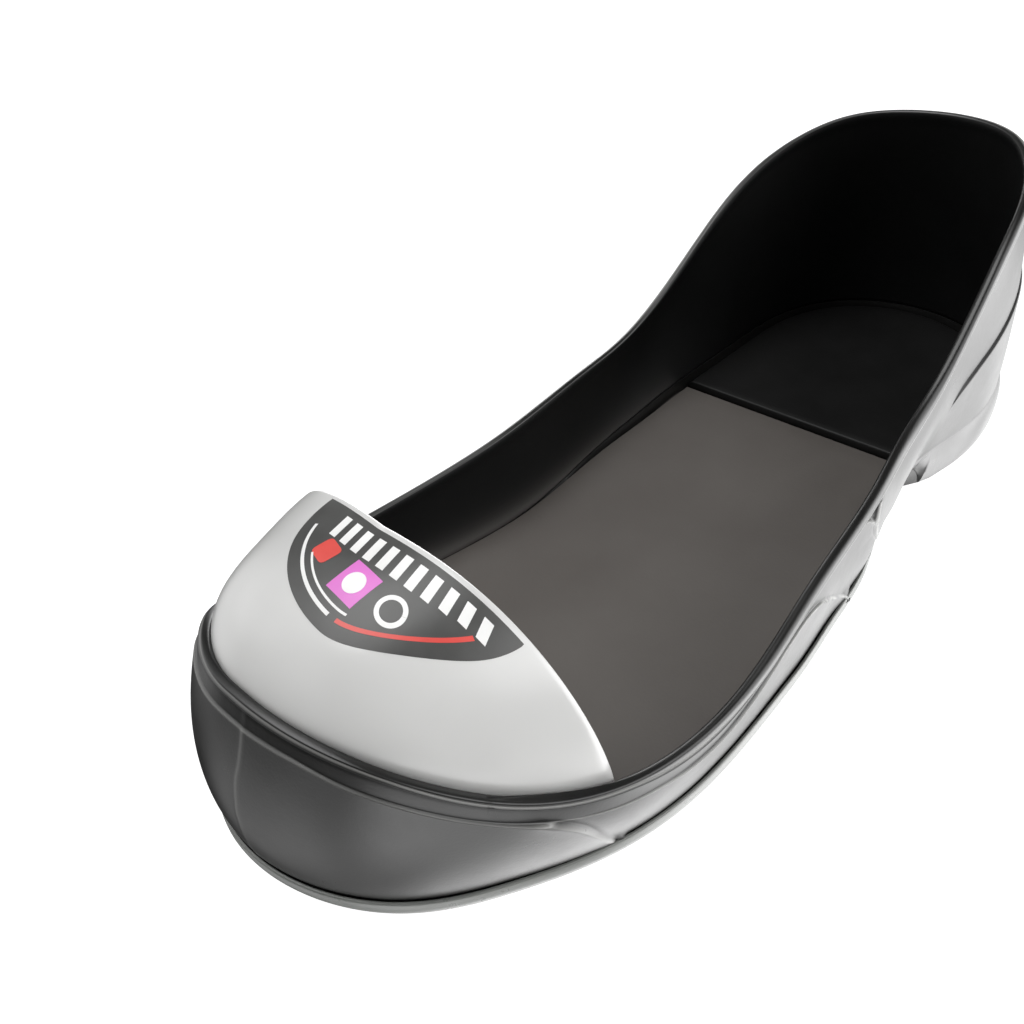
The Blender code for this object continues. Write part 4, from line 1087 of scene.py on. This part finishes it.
def make_outsole():
    net = Net()
    low = side_bottom()
    rings = []
    raised = FOXING_LIP * (1 - flush(COLUMN_U)) * smooth((203.0 - COLUMN_U) / 6.0)
    for share in (1.0, 0.985, 0.955, 0.91, 0.84, 0.74, 0.62, 0.50, 0.38, 0.26, 0.16, 0.08, 0.03, 0.0):
        z = low + share * (FEATHER + raised - low)
        out = sole_side_out(COLUMN_U, share) - tuck(share) + fuller(COLUMN_U, ON_LATERAL)
        if share > 0.97:
            seam = np.exp(-((COLUMN_U - 6.3) / 0.5) ** 2) * ON_LATERAL
            out = out + 0.12 * seam
        rings.append(net.ring(np.c_[XY + NORMAL * out[:, None], z]))
    for i, (a, b) in enumerate(zip(rings, rings[1:])):
        net.add(bridge(a, b), 3 if i < 10 else 0)
    more = fuller(COLUMN_U, ON_LATERAL)
    edge = net.ring(np.c_[XY + NORMAL * (more - 0.62)[:, None], FEATHER + raised])
    lip = net.ring(np.c_[XY + NORMAL * (more - 0.72)[:, None], FEATHER + 0.02])
    ledge = net.ring(np.c_[XY - NORMAL * (LEDGE_IN + WALL + 0.2), FEATHER])
    p = XY - NORMAL * (LEDGE_IN + WALL + 1.2)
    floor = net.ring(np.c_[p, floor_height(p[:, 1])])
    net.add(bridge(rings[0], edge), 3)
    net.add(bridge(edge, lip), 0)
    net.add(bridge(lip, ledge), 0)
    net.add(bridge(ledge, floor), 0)
    net.fill(floor, [], lambda x, y: floor_height(y), 9.0, True)
    bottom = rings[-1]
    across = 40
    grid = []
    first = net.v[int(bottom[PAIRS[-1][0]])][2]
    for kl, km in PAIRS:
        p, q = np.array(net.v[int(bottom[kl])]), np.array(net.v[int(bottom[km])])
        share = (p[2] - LUG) / max(first - LUG, 1e-6)
        w = np.arange(1, across)[:, None] / across
        row = p * (1 - w) + q * w
        row[:, 1] -= BREAST_BOW * (1 - np.abs(2 * w[:, 0] - 1) ** 5)
        if share > 1e-6:
            row[:, 2] = LUG + share * (base_height(row[:, 0], row[:, 1]) - LUG)
        else:
            row[:, 2] = LUG
        grid.append(np.r_[bottom[kl], net.ring(row), bottom[km]])
    for a, b in zip(grid, grid[1:]):
        net.add(bridge(a, b, closed=False), 0)
    first_l, first_m = PAIRS[-1]
    back_l, back_m = PAIRS[0]
    loop = np.r_[bottom[first_l:first_m + 1], grid[-1][1:-1][::-1]]

    def lug(shape, foot_z, top_z):
        p = rounded(shape)
        foot = net.ring(np.c_[grown(p, 0.12), foot_z(*grown(p, 0.12).T)])
        steps = [foot]
        for d, part in ((0.04, 0.10), (0.0, 0.30), (-0.06, 0.84), (-0.12, 0.95), (-0.24, 1.0)):
            q = grown(p, d)
            a, b = foot_z(*q.T), top_z(*q.T)
            steps.append(net.ring(np.c_[q, a + (b - a) * part]))
        for a, b in zip(steps, steps[1:]):
            net.add(bridge(a, b), 0)
        net.fill(steps[-1], [], top_z, 6.0, False, 1)
        return foot

    feet = [lug(shape, base_height, lambda x, y: base_height(x, y) - LUG) for shape in lugs()]
    net.fill(loop, feet, base_height, 5.0, False)
    loop = np.r_[bottom[:back_l + 1], grid[0][1:-1], bottom[back_m:]]
    level = lambda h: (lambda x, y: np.full(np.shape(x), h))
    feet = [lug(shape, level(LUG), level(0.0)) for shape in heel_lugs()]
    net.fill(loop, feet, level(LUG), 9.0, False)
    # the underside between the lugs and the side differ a little in colour
    thing = net.build("outsole_tread", [RUBBER, TREAD, SOLE_RUBBER, FOXING], sharp=50)
    centre = np.zeros(len(thing.data.polygons) * 3)
    thing.data.polygons.foreach_get("center", centre)
    nz = np.zeros(len(thing.data.polygons) * 3)
    thing.data.polygons.foreach_get("normal", nz)
    m = np.zeros(len(thing.data.polygons), np.int32)
    thing.data.polygons.foreach_get("material_index", m)
    m[(nz.reshape(-1, 3)[:, 2] < -0.55) & (m == 0)] = 2
    thing.data.polygons.foreach_set("material_index", m)
    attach(thing, "root")
    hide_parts("outsole")
    return thing


# ---------------------------------------------------------------- footbed and heel seat
def lining_at(z, clear):
    out = BASE.wall(np.maximum(z, FEATHER)) - WALL - clear
    return XY + NORMAL * np.minimum(out, -(LEDGE_IN + WALL + 1.4 + clear))[:, None]


def plate(net, levels, keep, back, height, across=90, corner=2.5):
    """Rings of a plate that follows the lining and is cut across at back;
    each level gives lift, clear and trim."""
    rings = []
    for lift, clear, trim in levels:
        p = lining_at(height(XY[:, 1]) + lift, clear)[keep]
        a, b = p[-1], p[0]
        u = (np.arange(across + 1) / across)[:, None]
        cut = np.c_[a[0] * (1 - u) + b[0] * u, np.full(across + 1, back + trim)]
        q = np.vstack([p, cut])
        rings.append(net.ring(np.c_[q, height(q[:, 1]) + lift]))
    return rings


def make_insole():
    net = Net()
    back = y_of(0.300)
    keep = [k for k in range(COUNT) if XY[k][1] < back - 1.0][::2]
    low = GAP + 0.15
    levels = ((low, GAP, 0.0), (BOARD - 0.7, GAP, 0.0), (BOARD - 0.35, GAP + 0.08, -0.10),
              (BOARD - 0.12, GAP + 0.28, -0.30), (BOARD, GAP + 0.65, -0.65))
    rings = plate(net, levels, keep, back, floor_height)
    for a, b in zip(rings, rings[1:]):
        net.add(bridge(a, b), 0)
    net.fill(rings[0], [], lambda x, y: floor_height(y) + low, 9.0, False)
    net.fill(rings[-1], [], lambda x, y: floor_height(y) + BOARD, 5.0, True)
    thing = net.build("footbed", [BOARD_RUBBER], sharp=60)
    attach(thing, "root")
    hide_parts("insole")
    return thing


def make_heel_seat():
    net = Net()
    front = y_of(0.300) + GAP
    top = BOARD + HEEL_SEAT_RISE
    keep = [k for k in range(COUNT) if XY[k][1] > front + 2.0][::1]
    order = [k for k in keep if not ON_LATERAL[k]] + [k for k in keep if ON_LATERAL[k]]
    levels = ((GAP, GAP, 0.0), (top * 0.35, GAP + 0.15, 0.0), (top * 0.62, GAP + 0.40, 0.03),
              (top * 0.80, GAP + 0.75, 0.10), (top * 0.92, GAP + 1.20, 0.25), (top * 0.98, GAP + 1.70, 0.45),
              (top, GAP + 2.30, 0.70))
    rings = plate(net, levels, order, front, floor_height)
    for a, b in zip(rings, rings[1:]):
        net.add(bridge(a, b), 0)
    net.fill(rings[0], [], lambda x, y: floor_height(y) + GAP, 9.0, False)
    net.fill(rings[-1], [], lambda x, y: floor_height(y) + top, 5.0, True)
    thing = net.build("heel_pad", [SEAT_RUBBER], sharp=60)
    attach(thing, "root")
    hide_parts("heel_seat")
    return thing


# ---------------------------------------------------------------- toe cap
def cap_surface():
    """The cap's outer face as a grid: columns along the bead from the lateral
    to the medial side, rows from the crown to the bead and down inside it."""
    pick = [k for k in range(COUNT) if STATION[k] >= CAP_STATION - 1e-4]
    z = TOP[pick] - 2.2
    out = BASE.wall(TOP - 2.2)[pick] + BEAD_IN - GAP - 0.1
    edge = np.c_[XY[pick] + NORMAL[pick] * out[:, None], z]
    # both ends lie exactly at the rear cut
    for j, lateral in ((0, True), (-1, False)):
        edge[j, 1] = y_of(CAP_STATION)
    centre = (edge[0, :2] + edge[-1, :2]) / 2
    shares = np.r_[np.linspace(0.03, 0.90, 42), 1 - 0.10 * np.linspace(1, 0, 14)[1:] ** 1.5]
    rows = []
    for r in shares:
        up = (1 - r ** 2.6) ** (1 / 1.6) if r < 1 else 0.0
        xy = centre + (edge[:, :2] - centre) * r
        h = edge[:, 2] + (CAP_CROWN - edge[:, 2]) * up
        share = (h - edge[:, 2]) / (CAP_CROWN - edge[:, 2])
        rows.append(np.c_[xy[:, 0], xy[:, 1] - CAP_LEAN * share * (1 - 0.6 * r), h])
    for drop in (1.5, 3.0, 5.0, 7.0, CAP_SKIRT):
        zz = edge[:, 2] - drop
        full = TOP.copy()
        full[pick] = zz
        o = BASE.wall(full)[pick] - WALL - GAP - 0.15
        o = np.minimum(o, out)
        rows.append(np.c_[XY[pick] + NORMAL[pick] * o[:, None], zz])
    crown = np.array([centre[0], centre[1] - CAP_LEAN, CAP_CROWN])
    return np.array(rows), crown


def make_toe_cap():
    grid, crown = cap_surface()
    du, dv = np.zeros_like(grid), np.zeros_like(grid)
    du[:, 1:-1] = grid[:, 2:] - grid[:, :-2]
    du[:, 0], du[:, -1] = grid[:, 1] - grid[:, 0], grid[:, -1] - grid[:, -2]
    dv[1:-1] = grid[2:] - grid[:-2]
    dv[0], dv[-1] = grid[1] - crown, grid[-1] - grid[-2]
    normal = np.cross(du, dv)
    normal /= np.linalg.norm(normal, axis=2)[..., None]
    if ((grid - grid.mean(axis=(0, 1))) * normal).sum() < 0:
        normal = -normal
    for col in (0, -1):
        normal[:, col, 1] *= 0.1
        normal[:, col] /= np.linalg.norm(normal[:, col], axis=1)[:, None]
    net = Net()
    n = grid.shape[1]

    # the sheet: outer face, rounded rear edge and inner face share their rims
    def sheet(points, c):
        rows = [net.ring(row) for row in points]
        mid = net.ring([c])[0]
        for a, b in zip(rows, rows[1:]):
            net.add(bridge(a, b, closed=False))
        net.add([[mid, rows[0][j], rows[0][j + 1]] for j in range(n - 1)])
        return rows, mid

    # a small radius along the rear edge: rows between the outer and inner rims, further down, bow out behind them
    outer = grid.copy()
    inner = grid - normal * CAP_PLATE
    ro, mo = sheet(outer, crown)
    ri, mi = sheet(inner, (crown[0], crown[1], crown[2] - CAP_PLATE))
    net.add(bridge(ro[-1], ri[-1], closed=False))
    path_o = [r[0] for r in ro[::-1]] + [mo] + [r[-1] for r in ro]
    path_i = [r[0] for r in ri[::-1]] + [mi] + [r[-1] for r in ri]
    po, pi = np.array([net.v[i] for i in path_o]), np.array([net.v[i] for i in path_i])
    last = path_o
    for w, back in ((0.10, 0.32), (0.25, 0.46), (0.5, 0.52), (0.75, 0.46), (0.90, 0.32)):
        row = po * (1 - w) + pi * w
        row[:, 1] += back
        ids = net.ring(row)
        net.add(bridge(last, ids, closed=False))
        last = ids
    net.add(bridge(last, path_i, closed=False))
    thing = net.build("cap_plate", [PAINT], sharp=70)
    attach(thing, "root")
    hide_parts("toe_cap")
    return thing, grid, crown


# ---------------------------------------------------------------- printed field on the cap
def bent(shape):
    """Flattens a shape on the lateral side, as the field's front edge is."""
    shape = np.array(shape)
    shape[:, 1] += 5.2 * smooth((shape[:, 0] - 8.3) / 24.0)
    return shape


def ellipse(cx, cy, rx, ry, n=48, a0=0.0, a1=360.0):
    t = np.radians(np.linspace(a0, a1, n, endpoint=abs(a1 - a0) < 359.9))
    return np.c_[cx + rx * np.cos(t), cy + ry * np.sin(t)]


def ribbon(cx, cy, rx, ry, width, a0, a1, n=40):
    a = ellipse(cx, cy, rx, ry, n, a0, a1)
    b = ellipse(cx, cy, rx - width, ry - width, n, a1, a0)
    return np.vstack([a, b])


def turned(shape, centre, degrees):
    c, s = math.cos(math.radians(degrees)), math.sin(math.radians(degrees))
    return np.array([(centre[0] + c * x - s * y, centre[1] + s * x + c * y) for x, y in shape])


def box_shape(w, h, r=0.0):
    base = np.array([(-w / 2, -h / 2), (w / 2, -h / 2), (w / 2, h / 2), (-w / 2, h / 2)])
    return rounded(base, r, 4) if r else base


def label_pieces(cap):
    """Thin ink: a dark half disc with a plain pattern of bars, a square, a
    disc and two arcs. Heights come from the cap under it."""
    mesh = cap.data
    tree = BVHTree.FromPolygons([v.co.copy() for v in mesh.vertices], [tuple(p.vertices) for p in mesh.polygons])

    def on_cap(points, lift):
        out = []
        for x, y in points:
            p = Vector(((x) * MM, (y) * MM, 0.2))
            hit, nor, _, _ = tree.ray_cast(p, Vector((0, 0, -1)))
            if hit is None:
                hit, nor, _, _ = tree.find_nearest(Vector((x * MM, y * MM, 0.07)))
            q = hit / MM + nor * lift
            out.append((q.x + SHIFT[0], q.y + SHIFT[1], q.z))
        return out

    centre = np.array([8.3, -97.3])
    radius = (28.3, 24.2)

    def rear(x):
        """The cap's rear edge, seen from above."""
        x = np.asarray(x, float)
        path = REAR_EDGE
        return np.interp(x, path[:, 0], path[:, 1])

    def field():
        arc = ellipse(centre[0], centre[1], *radius, n=90, a0=181.0, a1=359.0)
        arc[:, 1] += 5.2 * smooth((arc[:, 0] - centre[0]) / 24.0)
        arc = arc[arc[:, 1] < rear(arc[:, 0]) - 1.6]
        x = np.linspace(arc[-1, 0], arc[0, 0], 50)
        back = np.c_[x, rear(x) - 1.1]
        return np.vstack([arc, back])

    shapes = [("label_field", INK_DARK, [field()], 0.07)]
    white, red, magenta = [], [], []
    # a row of slanted bars along the rear edge
    for i in range(11):
        x = -10.5 + i * 3.95
        y = rear(x) - 2.9
        tall = 5.8 - 1.9 * float(smooth((i - 6.0) / 4.0))
        white.append(np.array([(x, y), (x + 2.1, float(rear(x + 2.1)) - 2.9),
                               (x + 3.3, float(rear(x + 2.1)) - 2.9 - tall), (x + 1.2, y - tall)]))
    magenta.append(turned(box_shape(8.2, 8.2), (6.4, -110.6), -4.0))
    white_top = [ellipse(6.4, -110.6, 2.5, 2.5, 40)]
    red.append(turned(box_shape(5.6, 5.2, 1.3), (-5.4, -108.6), -14.0))
    white.append(ribbon(16.6, -110.0, 3.3, 3.3, 1.0, 20.0, 379.0, 60))
    white.append(bent(ribbon(centre[0], centre[1], 25.2, 21.4, 0.8, 200.0, 268.0)))
    red.append(bent(ribbon(centre[0], centre[1], 25.2, 21.4, 0.9, 273.0, 332.0)))
    white.append(bent(ribbon(centre[0], centre[1], 22.6, 19.4, 0.5, 224.0, 276.0)))
    shapes.append(("label_bars", INK_WHITE, white, 0.11))
    shapes.append(("label_red_marks", INK_RED, red, 0.11))
    shapes.append(("label_square", INK_MAGENTA, magenta, 0.11))
    shapes.append(("label_dot", INK_WHITE, white_top, 0.15))
    made = []
    for name, material, outlines, lift in shapes:
        net = Net()
        for outline in outlines:
            # finer points along the outline so that it follows the dome
            pts = []
            for a, b in zip(outline, np.roll(outline, -1, axis=0)):
                k = max(1, int(np.linalg.norm(b - a) / 0.8))
                pts += [a + (b - a) * j / k for j in range(k)]
            ids = net.ring([(p[0], p[1], 0.0) for p in pts])
            net.fill(ids, [], lambda x, y: np.zeros(len(x)), 1.0 if lift > 0.08 else 1.5, True)
        flat = np.array(net.v)[:, :2]
        net.v = on_cap(flat, lift)
        thing = mesh_object(name, net.v, net.f, [material], None)
        bm = bmesh.new()
        bm.from_mesh(thing.data)
        bmesh.ops.recalc_face_normals(bm, faces=bm.faces)
        bm.normal_update()
        if sum(f.normal.z * f.calc_area() for f in bm.faces) < 0:
            bmesh.ops.reverse_faces(bm, faces=bm.faces)
        bm.normal_update()
        # the ink's own thickness: a second skin under the first, and its rim
        lower = bmesh.ops.duplicate(bm, geom=bm.verts[:] + bm.edges[:] + bm.faces[:])
        twin = lower["vert_map"]
        rim = [(e.verts[0], e.verts[1]) for e in bm.edges if e.is_boundary and e.verts[0] in twin
               and not any(v in lower["geom"] for v in e.verts)]
        under = [g for g in lower["geom"] if isinstance(g, bmesh.types.BMFace)]
        for v in [g for g in lower["geom"] if isinstance(g, bmesh.types.BMVert)]:
            v.co.z -= 0.05 * MM
        bmesh.ops.reverse_faces(bm, faces=under)
        for a, b in rim:
            bm.faces.new((a, b, twin[b], twin[a]))
        bmesh.ops.recalc_face_normals(bm, faces=bm.faces)
        if bm.calc_volume(signed=True) < 0:
            bmesh.ops.reverse_faces(bm, faces=bm.faces)
        bm.to_mesh(thing.data)
        bm.free()
        thing.data.set_sharp_from_angle(angle=math.radians(30))
        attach(thing, "root")
        made.append(thing)
    return made


# ---------------------------------------------------------------- build
def set_camera():
    a, e, r = map(math.radians, (51.3, 39.4, -9.7))
    back = Vector((math.sin(a) * math.cos(e), -math.cos(a) * math.cos(e), math.sin(e)))
    right = Vector((math.cos(a), math.sin(a), 0.0))
    up = back.cross(right)
    r2 = right * math.cos(r) + up * math.sin(r)
    u2 = up * math.cos(r) - right * math.sin(r)
    place_ = Vector((0.129830, -0.167626, 0.194820))
    data = bpy.data.cameras.new("camera")
    data.sensor_fit = "HORIZONTAL"
    data.sensor_width = 36.0
    data.lens = 32.04
    data.clip_start = 0.01
    data.clip_end = 20.0
    camera = bpy.data.objects.new("camera", data)
    camera.matrix_world = Matrix(((r2.x, u2.x, back.x, place_.x), (r2.y, u2.y, back.y, place_.y),
                                  (r2.z, u2.z, back.z, place_.z), (0, 0, 0, 1)))
    bpy.context.scene.collection.objects.link(camera)
    bpy.context.scene.camera = camera


def area_light(name, place_, target, size, power, colour=(1, 1, 1), size_y=None):
    data = bpy.data.lights.new(name, "AREA")
    data.shape = "RECTANGLE" if size_y else "DISK"
    data.size = size
    if size_y:
        data.size_y = size_y
    data.energy = power
    data.color = colour
    thing = bpy.data.objects.new(name, data)
    thing.location = place_
    thing.rotation_euler = (Vector(target) - Vector(place_)).to_track_quat("-Z", "Y").to_euler()
    bpy.context.scene.collection.objects.link(thing)
    thing.visible_camera = False
    return thing


def glow(name, colour, strength):
    material = bpy.data.materials.new(name)
    material.use_nodes = True
    shader = material.node_tree.nodes["Principled BSDF"]
    shader.inputs["Base Color"].default_value = (*colour, 1)
    shader.inputs["Roughness"].default_value = 0.9
    shader.inputs["Specular IOR Level"].default_value = 0.0
    shader.inputs["Emission Color"].default_value = (1, 1, 1, 1)
    shader.inputs["Emission Strength"].default_value = strength
    return material


def make_stage():
    """A plain pale floor that glows softly, like a lit table, and a plain
    pale backdrop far behind it. The shoe's gloss comes from the soft boxes in
    the world, so neither shows in it."""
    mesh = bpy.data.meshes.new("floor")
    r = 3.0
    mesh.from_pydata([(-r, -r, 0), (r, -r, 0), (r, r, 0), (-r, r, 0)], [], [(0, 1, 2, 3)])
    floor = bpy.data.objects.new("floor", mesh)
    bpy.context.scene.collection.objects.link(floor)
    mesh.materials.append(glow("floor_pale", (0.30, 0.30, 0.30), FLOOR_GLOW))
    floor.visible_glossy = False
    bm = bmesh.new()
    bmesh.ops.create_uvsphere(bm, u_segments=48, v_segments=24, radius=6.0)
    bmesh.ops.reverse_faces(bm, faces=bm.faces)
    mesh = bpy.data.meshes.new("backdrop")
    bm.to_mesh(mesh)
    bm.free()
    back = bpy.data.objects.new("backdrop", mesh)
    bpy.context.scene.collection.objects.link(back)
    mesh.materials.append(glow("backdrop_pale", (0.0, 0.0, 0.0), 0.93))
    back.visible_diffuse = back.visible_glossy = back.visible_transmission = back.visible_shadow = False


FLOOR_GLOW = 1.0
# Soft boxes: azimuth from the toe towards the lateral side, elevation, the
# angle from its middle where each ends, and its brightness
SOFT_BOXES = (
    dict(az=40, el=-35, outer=30, bright=2.4), dict(az=80, el=-35, outer=30, bright=0.9),
    dict(az=120, el=-35, outer=30, bright=4.5), dict(az=158, el=-35, outer=30, bright=2.2),
    dict(az=200, el=-35, outer=30, bright=1.0), dict(az=5, el=-35, outer=30, bright=0.7),
    dict(az=-30, el=-35, outer=30, bright=0.7), dict(az=140, el=0, outer=34, bright=5.4),
    dict(az=220, el=0, outer=34, bright=4.8), dict(az=290, el=0, outer=34, bright=0.9),
    dict(az=110, el=35, outer=30, bright=3.2), dict(az=290, el=35, outer=30, bright=1.0),
    dict(az=-30, el=35, outer=30, bright=0.5), dict(az=110, el=-72, outer=34, bright=1.7),
    dict(az=200, el=-72, outer=34, bright=1.2), dict(az=20, el=-76, outer=30, bright=0.5),
)
FULL = 6.0
WORLD_BASE = 0.01


def light_scene():
    world = bpy.data.worlds.new("world")
    world.use_nodes = True
    tree = world.node_tree
    coord = tree.nodes.new("ShaderNodeTexCoord")
    total = None
    for box in SOFT_BOXES:
        a, e = math.radians(box["az"]), math.radians(box["el"])
        dot = tree.nodes.new("ShaderNodeVectorMath")
        dot.operation = "DOT_PRODUCT"
        dot.inputs[1].default_value = (math.sin(a) * math.cos(e), -math.cos(a) * math.cos(e), math.sin(e))
        tree.links.new(coord.outputs["Generated"], dot.inputs[0])
        ramp = tree.nodes.new("ShaderNodeMapRange")
        ramp.interpolation_type = "SMOOTHSTEP"
        ramp.inputs["From Min"].default_value = math.cos(math.radians(box["outer"]))
        ramp.inputs["From Max"].default_value = math.cos(math.radians(FULL))
        ramp.inputs["To Min"].default_value = 0.0
        ramp.inputs["To Max"].default_value = box["bright"]
        tree.links.new(dot.outputs["Value"], ramp.inputs["Value"])
        add = tree.nodes.new("ShaderNodeMath")
        add.operation = "ADD"
        add.inputs[0].default_value = WORLD_BASE
        if total is not None:
            tree.links.new(total, add.inputs[0])
        tree.links.new(ramp.outputs["Result"], add.inputs[1])
        total = add.outputs["Value"]
    background = tree.nodes["Background"]
    background.inputs["Color"].default_value = (1, 1, 1, 1)
    tree.links.new(total, background.inputs["Strength"])
    bpy.context.scene.world = world
    bpy.context.scene.view_settings.view_transform = "Standard"
    area_light("overhead", (-0.25, -0.15, 1.2), (0.0, 0.0, 0.0), 1.0, 10.2)


set_camera()
make_upper()
make_outsole()
make_insole()
make_heel_seat()
cap, CAP_GRID, CAP_TOP = make_toe_cap()
_rear = np.vstack([CAP_GRID[::-1, -1], [CAP_TOP], CAP_GRID[:, 0]]) - SHIFT
_rear = _rear[np.argsort(_rear[:, 0])]
REAR_EDGE = _rear[:, :2]
label_pieces(cap)
make_stage()
light_scene()
